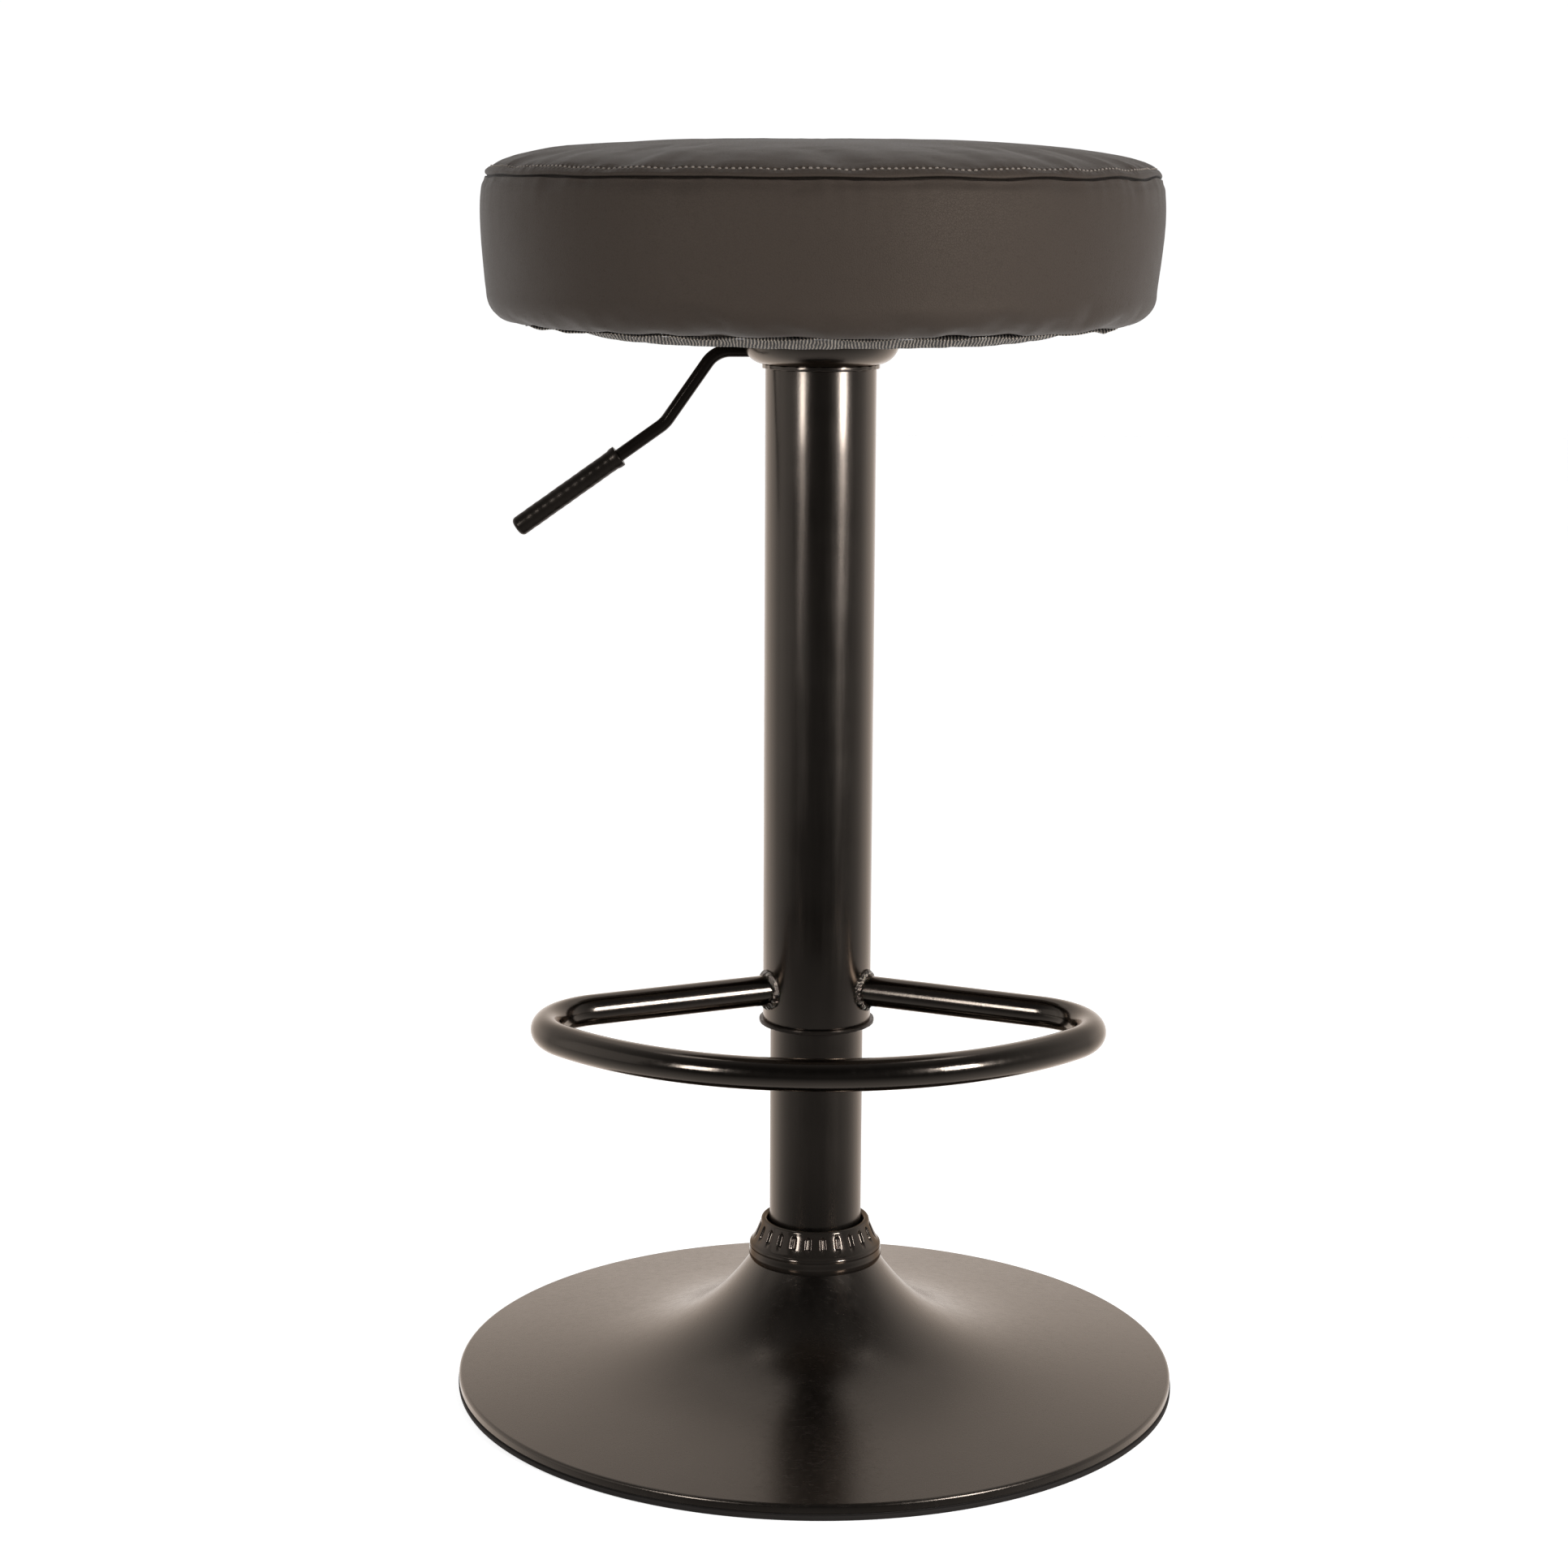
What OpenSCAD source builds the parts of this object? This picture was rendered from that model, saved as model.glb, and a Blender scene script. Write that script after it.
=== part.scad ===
// Bar stool: round padded seat on a gas lift column with a D-shaped footrest and a round base.
// Origin on the floor under the column, +Z up, the footrest towards -Y, the lift lever towards -X.
// The seat is drawn half way up its travel.

/* [Overall] */
// Diameter of the base, over its rubber ring
base_d = 385; // [320:1:480]
// Height of the seat's crown above the floor, half way up its travel
seat_h = 658; // [640:1:800]
// Diameter of the seat at its widest
seat_d = 346; // [290:1:420]

/* [Lift] */
// How far the seat goes down from the drawn height
travel_down = 100; // [60:1:104]
// How far the seat goes up from the drawn height
travel_up = 110; // [60:1:120]
// Bare standing tube between the collar and the slide bush
reveal = 108.7; // [106:0.1:130]
// Diameter of the gas cylinder
cylinder_d = 28; // [24:0.5:34]
// Diameter of the piston rod
rod_d = 10; // [8:0.5:12]

/* [Column] */
// Outer diameter of the tube that stands on the base
standing_d = 49; // [44:0.5:60]
// Wall of the slide bush between the two tubes
bush_wall = 2.5; // [1.5:0.1:5]
// Wall of both tubes
tube_wall = 1.5; // [1:0.1:2]

/* [Base] */
// Height of the rolled rim above the floor
rim_h = 8; // [7:0.5:12]
// Rise of the shallow cone from the rim to the column
cone_rise = 17; // [10:1:25]
// Extra rise of the trumpet neck
neck_rise = 45; // [35:1:60]
// Sheet of the base shell
shell_t = 1.2; // [0.8:0.1:1.5]
// Thickness of the ballast disc
ballast_t = 6; // [3:0.5:6]
// Number of recesses round the collar
collar_slots = 24; // [12:1:30]

/* [Footrest] */
// Diameter of the footrest tube
bar_d = 16; // [12:1:20]
// Radius of the front arc, on the tube's centre line
bar_reach = 170; // [140:1:180]
// Radius of the two corners, on the centre line
bar_corner = 38; // [30:1:45]
// How far each leg turns forward of sideways
bar_sweep = 24.7; // [10:0.1:35]
// Centre line of the bar above the bush's lower edge
bar_over_bush = 19.7; // [16:0.1:40]

/* [Seat] */
// Height of the cushion, from the underside of its cover to the crown
cushion_h = 91; // [85:0.1:120]
// Rise of the crown above the seam
crown_h = 18.6; // [12:0.1:25]
// How far the side bulges past the seam
side_bulge = 3.2; // [1:0.1:6]
// Radius of the rounded lower edge
lower_round = 16; // [12:0.5:20]
// Thickness of the faux leather
cover_t = 1.2; // [0.8:0.1:1.5]
// Thickness of the plywood seat board
board_t = 12; // [10:1:15]
// Sag of the dust cover below the cushion
dust_sag = 8; // [8:0.1:12]

/* [Lever] */
// Diameter of the lever rod
lever_d = 6.3; // [5:0.1:8]
// Wall of the grip over the rod
grip_wall = 1.65; // [1:0.05:3]
// Length of the grip
grip_len = 65; // [50:1:70]

/* [Clearances] */
// Radial gap of a running fit
run_gap = 0.05; // [0.02:0.01:0.1]
// Gap between pieces that lie on each other
lay_gap = 0.1; // [0.05:0.05:0.3]
// Gap between the lever and the valve pin at rest
lever_play = 0.4; // [0.3:0.1:0.8]
// Space left round things that move past each other
free_gap = 1; // [0.5:0.1:2]

/* [Hidden] */
$fn = 96;
cut = 1;  // how far a cutter passes the face that it cuts

// colours
frame_brown = [0.20, 0.17, 0.15];
black = [0.08, 0.08, 0.08];
steel = [0.72, 0.72, 0.74];
leather_brown = [0.35, 0.31, 0.29];

// base and hub
base_r = base_d / 2;
ring_lift = 2.6;  // rubber under the groove below the shell's edge
edge_z = 3.4;  // lower edge of the shell
neck_r = standing_d / 2 + 8.5;
neck_power = 5.2;
shell_r = base_r - 0.5;
ballast_z = 4;
ballast_r = 0.78 * base_r;
hub_z = ballast_z + ballast_t;
hub_foot_t = 4;
hub_foot_r = neck_r + 23;
hub_r = neck_r - shell_t - run_gap;
hub_bolt_r = neck_r + 12;
hub_bolt_d = 8;
hub_bolts = 4;
standing_r = standing_d / 2;
standing_bore = standing_r - tube_wall;
outer_bore = standing_r + bush_wall;
outer_r = outer_bore + tube_wall;
tube_foot_z = hub_z + hub_foot_t;

// stack on the tube's end plate: bearing, then buffer
end_plate_z = tube_foot_z + 4;
end_plate_t = 4;
race_t = 2;
ball_r = 2;
balls = 8;
rod_r = rod_d / 2;
rod_neck_r = rod_r - 1;
race_r = rod_r + 7.5;
ball_ring_r = (race_r + rod_neck_r) / 2 + 0.4;
lower_race_z = end_plate_z + end_plate_t;
ball_z = lower_race_z + race_t + ball_r;
upper_race_z = ball_z + ball_r;
rod_shoulder_z = upper_race_z + race_t;
buffer_h = 16;
clip_t = 1.2;
clip_z = end_plate_z - 0.4 - clip_t;
rod_foot_z = clip_z - 1.4;

// collar
collar_foot_z = rim_h + cone_rise + neck_rise - 3;
collar_h = 22.6;
collar_top_z = collar_foot_z + collar_h;
collar_mouth = standing_r + 0.8;

// cushion and mechanism, from the crown down
under_z = seat_h - cushion_h;
board_z = under_z + cover_t + lay_gap;
board_top_z = board_z + board_t;
seam_z = seat_h - crown_h;
seam_r = seat_d / 2 - side_bulge;
board_r = seam_r - lower_round - 3;
plate_t = 3;
plate_w = 150;
plate_z = board_z - plate_t;
plate_bolt = 55;
bell_h = 19.8;
bell_round = 13;  // height of its rounded lower part
bell_z = plate_z - bell_h;
bell_r = outer_r + 12.6;
bell_t = 1.4;
cap_t = 2.2;
cap_z = bell_z - cap_t;
cap_spigot = 15;
bolt_d = 6;
washer_t = 1.2;
washer_r = 7;
head_t = 4;
dust_z = under_z - dust_sag;
dust_t = 0.8;
dust_rim_z = under_z - lay_gap - dust_t;

// column
bush_z = collar_top_z + reveal;
bush_flange_t = 2;
bush_len = 42;
outer_z = bush_z + bush_flange_t;
standing_top_z = cap_z - cap_spigot - travel_down - 28;
guide_len = 34;
guide_flange_t = 3;

// gas spring
cylinder_r = cylinder_d / 2;
cylinder_wall = 1.5;
cylinder_z = rod_shoulder_z + buffer_h + 4 + travel_down;
gland_h = 24;
piston_z = cylinder_z + gland_h + travel_up + 26;
piston_h = 16;
valve_head_h = 22;
cylinder_top_z = board_z;
taper_h = cylinder_top_z - bell_z;
taper_drop = 0.7;  // how much the radius shrinks up the taper
socket_wall = 4.5;
pin_d = 5;
pin_len = 18;
pin_proud = 4.5;

// lever: a bent rod in the plane y = 0, hinged inside the bell
pivot_x = -(outer_r + 0.5);
pivot_d = 3;
boss_r = lever_d / 2 + 1.05;
pivot_z = bell_z + bell_t + 0.7 + boss_r;
boss_w = lever_d + 2.3;
ear_t = 2;
slot_w = boss_w + 0.6;
tongue_z = cylinder_top_z + pin_proud + lever_play + lever_d / 2;
tongue_reach = 4;
lever_bend = 9;
elbow_bend = 18;
lever_run = 24.9;  // level stretch outside the pivot
lever_drop = [26.1, 37.1];  // first slope, outwards and down
lever_sweep = [23.5, 16.7];  // second slope, to the grip
knee = [pivot_x - lever_run, pivot_z];
elbow = knee - lever_drop;
grip_start = elbow - lever_sweep;
grip_dir = lever_sweep / norm(lever_sweep);
grip_plug = 5;  // closed end of the grip beyond the rod

// footrest
bar_r = bar_d / 2;
bar_z = bush_z + bar_over_bush;
corner_away = bar_reach - bar_corner;  // from the column's axis to a corner's centre
corner_turn = asin(bar_corner / corner_away);
leg_len = corner_away * cos(corner_turn);

// staples
staple_count = 24;
staple_w = 10;
staple_wire = 0.7;
staple_leg = 7;
staple_r = board_r - 6;

// Outline of the base shell's upper face at radius r
function flare_z(r) =
    let (t = (r - neck_r) / (shell_r - neck_r))
    rim_h + cone_rise * (1 - t) + neck_rise * pow(1 - t, neck_power);

// Points on an arc, from angle a to angle b
function arc(cx, cz, rx, rz, a, b, n) =
    [for (i = [0:n]) let (w = a + (b - a) * i / n) [cx + rx * cos(w), cz + rz * sin(w)]];

// Outline of the cushion's crown from its centre to the seam, drawn in by i
function crown(i) =
    [for (k = [0:16]) let (p = 1 - pow(1 - k / 16, 1.8))
        [(seam_r - i) * p, seam_z + (crown_h - i) * pow(1 - pow(p, 3), 1 / 2.1)]];

// Outline of the cushion's side from the seam to the flat underside, drawn in by i
function side(i) =
    let (foot = under_z + lower_round, drop = seam_z - foot)
    concat(
        [for (k = [0:12]) let (u = k / 12)
            [seam_r - i + side_bulge * sin(180 * pow(u, 0.6)), seam_z - drop * u]],
        arc(seam_r - lower_round, foot, lower_round - i, lower_round - i, -9, -90, 9));

function flip(points) = [for (k = [len(points) - 1:-1:0]) points[k]];

module ring(inner, outer, height) {
    difference() {
        cylinder(r = outer, h = height);
        translate([0, 0, -cut]) cylinder(r = inner, h = height + 2 * cut);
    }
}

module at_height(z) {
    translate([0, 0, z]) children();
}

module around(count, radius, start = 0) {
    for (i = [0:count - 1])
        rotate([0, 0, start + 360 * i / count]) translate([radius, 0, 0]) children();
}

module at_plate_bolts(z) {
    for (x = [-1, 1], y = [-1, 1])
        translate([x * plate_bolt, y * plate_bolt, z]) children();
}

// A round bar of radius r along a path in the plane z = 0
module bent_bar(path, r, sides) {
    last = len(path) - 1;
    points = [for (i = [0:last])
        let (d = path[min(i + 1, last)] - path[max(i - 1, 0)], n = [-d[1], d[0]] / norm(d))
        for (j = [0:sides - 1]) let (w = 360 * j / sides)
            [path[i][0] + r * cos(w) * n[0], path[i][1] + r * cos(w) * n[1], r * sin(w)]];
    skin = [for (i = [0:last - 1], j = [0:sides - 1]) let (k = (j + 1) % sides)
        [i * sides + j, (i + 1) * sides + j, (i + 1) * sides + k, i * sides + k]];
    polyhedron(points, concat(skin, [[for (j = [0:sides - 1]) j]],
        [[for (j = [sides - 1:-1:0]) last * sides + j]]));
}

// A rod of radius r from one point to another in the plane y = 0
module rod(from, to, r) {
    run = to - from;
    translate([from[0], 0, from[1]])
        rotate([0, 90 - atan2(run[1], run[0]), 0]) cylinder(r = r, h = norm(run));
}

// ---- base ----

module base_shell() {
    steps = 22;
    top = [for (i = [0:steps]) let (r = neck_r + (shell_r - 1.8 - neck_r) * pow(i / steps, 1.7))
        [r, flare_z(r)]];
    lip = arc(shell_r - 1.8, flare_z(shell_r - 1.8) - 1.8, 1.8, 1.8, 72, 0, 4);
    under = [for (i = [steps:-1:0]) let (r = neck_r + (shell_r - 3 - neck_r) * pow(i / steps, 1.7))
        [r - shell_t * (1 - 0.8 * i / steps), flare_z(r) - shell_t]];
    color(frame_brown) rotate_extrude()
        polygon(concat(top, lip, [[shell_r, edge_z], [shell_r - shell_t, edge_z]],
            [[shell_r - shell_t, rim_h - 2.6]], under));
}

module rim_ring() {
    bead_r = shell_r - shell_t - run_gap;
    color(black) rotate_extrude()
        polygon([[base_r - 8.5, 0], [base_r - 0.4, 0], [base_r, 0.4], [base_r, ring_lift - 0.4],
            [base_r - 0.4, ring_lift], [base_r - 1.3, ring_lift + 0.2], [base_r - 1.3, edge_z],
            [bead_r, edge_z], [bead_r, edge_z + 1.4], [bead_r - 2.2, edge_z + 1.4],
            [bead_r - 2.2, ring_lift + 0.4], [base_r - 8.5, ring_lift + 0.4]]);
}

module ballast_plate() {
    color(black) at_height(ballast_z) difference() {
        ring(standing_r + 4, ballast_r, ballast_t);
        at_height(-cut) around(hub_bolts, hub_bolt_r)
            cylinder(d = hub_bolt_d + 2 * lay_gap, h = ballast_t + 2 * cut);
    }
}

module ballast_bolts() {
    head = 2.6;
    color(steel) around(hub_bolts, hub_bolt_r) {
        at_height(ballast_z - head) difference() {
            cylinder(d = hub_bolt_d + 6, h = head);
            at_height(-cut) cylinder(d = 5, h = cut + 1.4, $fn = 6);
        }
        at_height(ballast_z) cylinder(d = hub_bolt_d, h = ballast_t + hub_foot_t);
    }
}

module hub_socket() {
    top = collar_foot_z + 2 - hub_z;
    color(black) at_height(hub_z) difference() {
        union() {
            cylinder(r = hub_foot_r, h = hub_foot_t);
            cylinder(r = hub_r, h = top);
        }
        at_height(-cut) cylinder(r = standing_r - 4, h = top + 2 * cut);
        at_height(hub_foot_t) cylinder(r = standing_r + run_gap, h = top);
        at_height(-cut) around(hub_bolts, hub_bolt_r)
            cylinder(d = hub_bolt_d + 2 * run_gap, h = hub_foot_t + 2 * cut);
    }
}

// Glossy collar over the neck: a flange, a bead and a sloped face with oval recesses
module base_collar() {
    foot = collar_foot_z;
    low_r = neck_r + 2.3;
    seat = [for (k = [0:4]) let (r = neck_r + lay_gap + (low_r - neck_r - lay_gap) * k / 4)
        [r, flare_z(r) + lay_gap]];
    outer = concat(seat, [[low_r + 0.4, foot + 1.4], [low_r + 0.45, foot + 3], [low_r, foot + 4.6],
        [low_r - 0.5, foot + 5.8]], arc(low_r - 2.2, foot + 7.8, 1.9, 1.9, -20, 60, 4),
        [[low_r - 1.9, foot + 10.6], [low_r - 3.3, foot + 13.2], [low_r - 6.1, foot + 20]],
        arc(low_r - 7.9, foot + 21, 1.6, 1.6, 15, 120, 5));
    slope = atan2(2.8, 6.8);
    color(black) difference() {
        rotate_extrude()
            polygon(concat(outer, [[collar_mouth, foot + 21], [collar_mouth, foot + 4],
                [neck_r + lay_gap, foot + 4]]));
        around(collar_slots, low_r - 4.6, 360 / collar_slots / 2) at_height(foot + 16.4)
            rotate([0, 90 - slope, 0]) at_height(-1.1) linear_extrude(4)
                polygon(concat(arc(2.35, 0, 1.6, 1.6, -90, 90, 8), arc(-2.35, 0, 1.6, 1.6, 90, 270, 8)));
    }
}

module standing_tube() {
    color(frame_brown) at_height(tube_foot_z)
        ring(standing_bore, standing_r, standing_top_z - guide_flange_t - tube_foot_z);
}

module tube_end_plate() {
    color(steel) at_height(end_plate_z)
        ring(rod_neck_r + run_gap, standing_bore - run_gap, end_plate_t);
}

module guide_bush() {
    color(black) difference() {
        union() {
            at_height(standing_top_z - guide_len)
                cylinder(r = standing_bore - run_gap, h = guide_len);
            at_height(standing_top_z - guide_flange_t)
                cylinder(r = standing_r - 0.2, h = guide_flange_t);
        }
        at_height(standing_top_z - guide_len - cut)
            cylinder(r = cylinder_r + run_gap, h = guide_len + 2 * cut);
    }
}

module bearing_lower_race() {
    color(steel) at_height(lower_race_z)
        ring(rod_neck_r + 0.3, race_r, race_t - 0.03);
}

module bearing_cage() {
    color(black) at_height(ball_z - 0.8) difference() {
        ring(rod_neck_r + 0.4, race_r - 0.5, 1.6);
        at_height(-cut) around(balls, ball_ring_r) cylinder(r = ball_r + run_gap, h = 4);
    }
}

module bearing_balls() {
    color(steel) around(balls, ball_ring_r) at_height(ball_z) sphere(r = ball_r - 0.03);
}

// ---- piston rod, which turns with the seat on the bearing ----

module bearing_upper_race() {
    color(steel) at_height(upper_race_z + 0.03)
        ring(rod_neck_r + run_gap, race_r, race_t - 0.06);
}

module piston_rod() {
    groove = 0.8;
    color(steel) difference() {
        union() {
            at_height(rod_foot_z) cylinder(r = rod_neck_r, h = rod_shoulder_z - rod_foot_z + cut);
            at_height(rod_shoulder_z) cylinder(r = rod_r, h = piston_z - rod_shoulder_z);
            at_height(piston_z) cylinder(r = rod_neck_r, h = piston_h);
        }
        at_height(clip_z - run_gap) ring(rod_neck_r - groove, rod_r + cut, clip_t + 2 * run_gap);
    }
}

module piston() {
    color(steel) at_height(piston_z) difference() {
        ring(rod_neck_r + run_gap, cylinder_r - cylinder_wall - 0.1, piston_h);
        at_height(piston_h / 2 - 1.5) ring(cylinder_r - cylinder_wall - 2, cylinder_r, 3);
    }
}

module piston_seal() {
    color(black) at_height(piston_z + piston_h / 2 - 1.4)
        ring(cylinder_r - cylinder_wall - 1.9, cylinder_r - cylinder_wall - run_gap, 2.8);
}

module rod_clip() {
    color(steel) at_height(clip_z) difference() {
        ring(rod_neck_r - 0.75, rod_neck_r + 3, clip_t);
        translate([0, -1.5, -cut]) cube([rod_neck_r + 4, 3, clip_t + 2 * cut]);
    }
}

module bottom_buffer() {
    color(black) at_height(rod_shoulder_z + 0.2) difference() {
        ring(rod_r + run_gap, race_r - 1, buffer_h - 0.2);
        at_height(buffer_h / 2 - 1) ring(race_r - 2.5, race_r, 2);
    }
}

// ---- what rises and turns with the seat ----

module gas_cylinder() {
    bore = cylinder_r - cylinder_wall;
    head_z = cylinder_top_z - valve_head_h;
    color(steel) difference() {
        union() {
            at_height(cylinder_z) cylinder(r = cylinder_r, h = bell_z - cylinder_z);
            at_height(bell_z) cylinder(r1 = cylinder_r, r2 = cylinder_r - taper_drop, h = taper_h);
        }
        at_height(cylinder_z - cut) cylinder(r = bore, h = head_z - cylinder_z + cut);
        at_height(cylinder_top_z - pin_len + pin_proud - 5)
            cylinder(r = pin_d / 2 + run_gap, h = pin_len + 5);
    }
}

module cylinder_gland() {
    color(black) at_height(cylinder_z)
        ring(rod_r + run_gap, cylinder_r - cylinder_wall - run_gap, gland_h);
}

module outer_tube() {
    color(frame_brown) at_height(outer_z) ring(outer_bore, outer_r, cap_z - outer_z);
}

module slide_bush() {
    color(black) at_height(bush_z) difference() {
        union() {
            cylinder(r = outer_r + 2, h = bush_flange_t);
            cylinder(r = outer_bore - run_gap, h = bush_len);
        }
        at_height(-cut) cylinder(r = standing_r + run_gap, h = bush_len + 2 * cut);
    }
}

module top_cap() {
    color(black) difference() {
        union() {
            at_height(cap_z) cylinder(r = outer_r + 1.6, h = cap_t);
            at_height(cap_z - cap_spigot) cylinder(r = outer_bore - run_gap, h = cap_spigot + cut);
        }
        at_height(cap_z - cap_spigot - cut)
            cylinder(r = cylinder_r + run_gap, h = cap_spigot + cap_t + 2 * cut);
    }
}

// D-shaped bar: out along one leg, round a corner, round the front, and back along the other leg
module footrest_bar() {
    arc_start = bar_sweep + corner_turn;
    corner = corner_away * [cos(arc_start), -sin(arc_start)];
    half = concat([(outer_r - 2) * [cos(bar_sweep), -sin(bar_sweep)]],
        arc(corner[0], corner[1], bar_corner, bar_corner, 90 - bar_sweep, -arc_start, 12),
        [for (k = [1:12]) let (w = -arc_start - (90 - arc_start) * k / 12)
            bar_reach * [cos(w), sin(w)]]);
    path = concat(half, [for (k = [len(half) - 2:-1:0]) [-half[k][0], half[k][1]]]);
    color(frame_brown) at_height(bar_z) difference() {
        bent_bar(path, bar_r, 24);
        at_height(-bar_d) cylinder(r = outer_r + 0.02, h = 2 * bar_d);
    }
}

// Weld beads where the two legs meet the tube
module footrest_welds() {
    bead = 2;
    color(frame_brown) at_height(bar_z) for (side = [-1, 1]) difference() {
        rotate([0, 0, side > 0 ? -bar_sweep : 180 + bar_sweep])
            translate([outer_r - 0.6, 0, 0]) rotate([0, 90, 0])
                rotate_extrude() translate([bar_r + 0.4, 0]) circle(r = bead);
        at_height(-bar_d) cylinder(r = outer_r + 0.03, h = 2 * bar_d);
        rotate([0, 0, side > 0 ? -bar_sweep : 180 + bar_sweep])
            rotate([0, 90, 0]) cylinder(r = bar_r + 0.02, h = outer_r + 20);
    }
}

module taper_socket() {
    color(steel) at_height(bell_z + run_gap) difference() {
        cylinder(r = cylinder_r + socket_wall, h = board_z - bell_z - run_gap);
        at_height(-run_gap)
            cylinder(r1 = cylinder_r + run_gap, r2 = cylinder_r + run_gap - taper_drop, h = taper_h);
        at_height(-cut) cylinder(r = cylinder_r + run_gap, h = cut);
        at_height(taper_h - 0.2) cylinder(r = cylinder_r - taper_drop + run_gap, h = cut);
    }
}

// Pressed cup that hides the mechanism, slotted for the lever
module bell_cover() {
    foot_r = outer_r + 0.5;
    wide = bell_r - foot_r - 0.6;
    wall = arc(foot_r, bell_z + bell_round, wide, bell_round, -90, 0, 8);
    inside = arc(foot_r, bell_z + bell_round, wide - bell_t, bell_round - bell_t, 0, -90, 8);
    color(frame_brown) difference() {
        rotate_extrude()
            polygon(concat([[cylinder_r + socket_wall + run_gap, bell_z]], wall,
                [[bell_r, plate_z], [bell_r - bell_t, plate_z]], inside,
                [[cylinder_r + socket_wall + run_gap, bell_z + bell_t]]));
        translate([-bell_r - cut, -slot_w / 2, pivot_z - lever_d / 2 - free_gap])
            cube([bell_r - outer_r + 2 + cut, slot_w, lever_d + 3 * free_gap]);
    }
}

module mount_plate() {
    corner = 12;
    half = plate_w / 2;
    color(steel) at_height(plate_z) difference() {
        union() {
            translate([-half, -half + corner, 0]) cube([plate_w, plate_w - 2 * corner, plate_t]);
            translate([-half + corner, -half, 0]) cube([plate_w - 2 * corner, plate_w, plate_t]);
            for (x = [-1, 1], y = [-1, 1])
                translate([x * (half - corner), y * (half - corner), 0])
                    cylinder(r = corner, h = plate_t);
        }
        at_height(-cut) cylinder(r = cylinder_r + socket_wall + run_gap, h = plate_t + 2 * cut);
        at_plate_bolts(-cut) cylinder(d = bolt_d + 0.6, h = plate_t + 2 * cut);
        translate([pivot_x - lever_d / 2 - 2 * free_gap, -slot_w / 2, -cut])
            cube([lever_d + 6 * free_gap, slot_w, plate_t + 2 * cut]);
    }
}

module lever_bracket() {
    ear_y = slot_w / 2 + 0.2;
    ear_r = 3.8;
    color(steel) for (y = [-ear_y - ear_t, ear_y]) translate([0, y, 0]) difference() {
        union() {
            translate([pivot_x, 0, pivot_z]) rotate([-90, 0, 0]) cylinder(r = ear_r, h = ear_t);
            translate([pivot_x - ear_r, 0, pivot_z])
                cube([2 * ear_r, ear_t, plate_z - pivot_z]);
        }
        translate([pivot_x, -cut, pivot_z]) rotate([-90, 0, 0])
            cylinder(d = pivot_d + 2 * run_gap, h = ear_t + 2 * cut);
    }
}

module pivot_pin() {
    len = slot_w + 0.4 + 2 * ear_t + 1;
    color(steel) translate([pivot_x, -len / 2, pivot_z]) rotate([-90, 0, 0])
        cylinder(d = pivot_d, h = len);
}

module mount_bolts() {
    color(steel) at_plate_bolts(plate_z - washer_t - head_t) {
        cylinder(d = bolt_d * 1.9, h = head_t, $fn = 6);
        cylinder(d = bolt_d, h = head_t + washer_t + plate_t + board_t - 0.5);
    }
}

module mount_washers() {
    color(steel) at_plate_bolts(plate_z - washer_t) ring(bolt_d / 2 + 0.2, washer_r, washer_t);
}

module tee_nuts() {
    barrel_r = bolt_d / 2 + 1.4;
    color(steel) at_plate_bolts(0) difference() {
        union() {
            at_height(board_z + 2) cylinder(r = barrel_r, h = board_t - 2);
            at_height(board_top_z) cylinder(r = barrel_r + 5, h = 1.2);
        }
        at_height(board_z) cylinder(r = bolt_d / 2 + run_gap, h = board_t + 2 * cut);
    }
}

module seat_board() {
    color([0.72, 0.56, 0.38]) difference() {
        at_height(board_z) ring(-pivot_x + 6, board_r, board_t);
        at_plate_bolts(board_z - cut) cylinder(r = bolt_d / 2 + 1.4 + run_gap, h = board_t + 2 * cut);
        staple_pockets();
    }
}

module seat_foam() {
    inset = cover_t + lay_gap;
    color([0.9, 0.87, 0.75]) difference() {
        rotate_extrude() polygon(concat([[0, under_z + inset]], crown(inset), side(inset)));
        at_height(under_z) cylinder(r = board_r + lay_gap, h = board_top_z + lay_gap - under_z);
        at_plate_bolts(board_top_z) cylinder(r = bolt_d / 2 + 7, h = 2);
    }
}

module cover_top() {
    color(leather_brown) rotate_extrude()
        polygon(concat(crown(0), flip(crown(cover_t))));
}

// Side band, turned under the board as a hem
module cover_side() {
    hem_r = board_r - 32;
    color(leather_brown) difference() {
        rotate_extrude()
            polygon(concat(side(0), [[hem_r, under_z], [hem_r, under_z + cover_t]],
                flip(side(cover_t))));
        staple_pockets();
    }
}

module dust_cover() {
    rim_r = board_r + 1;
    flat_r = rim_r - 14;
    sag_r = flat_r - 42;
    drop = dust_rim_z - dust_z;
    line = [for (k = [0:12]) let (u = k / 12)
        [sag_r + (flat_r - sag_r) * u, dust_z + drop * (1 - cos(180 * u)) / 2]];
    lower = concat([[bell_r + 1.1, dust_z]], line, [[rim_r, dust_rim_z]]);
    upper = [for (k = [len(lower) - 1:-1:0]) lower[k] + [0, dust_t]];
    color(black) difference() {
        rotate_extrude() polygon(concat(lower, upper));
        staple_pockets();
    }
}

module staple(grow) {
    for (y = [-1, 1]) translate([-staple_wire / 2 - grow, y * (staple_w - staple_wire) / 2
            - staple_wire / 2 - grow, -grow])
        cube([staple_wire + 2 * grow, staple_wire + 2 * grow, staple_leg + 2 * grow]);
    translate([-staple_wire / 2 - grow, -staple_w / 2 - grow, -grow])
        cube([staple_wire + 2 * grow, staple_w + 2 * grow, staple_wire + 2 * grow]);
}

module staples() {
    color(steel) around(staple_count, staple_r) at_height(dust_rim_z - staple_wire) staple(0);
}

module staple_pockets() {
    around(staple_count, staple_r) at_height(dust_rim_z - staple_wire) staple(run_gap);
}

// ---- valve pin and lever ----

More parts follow.
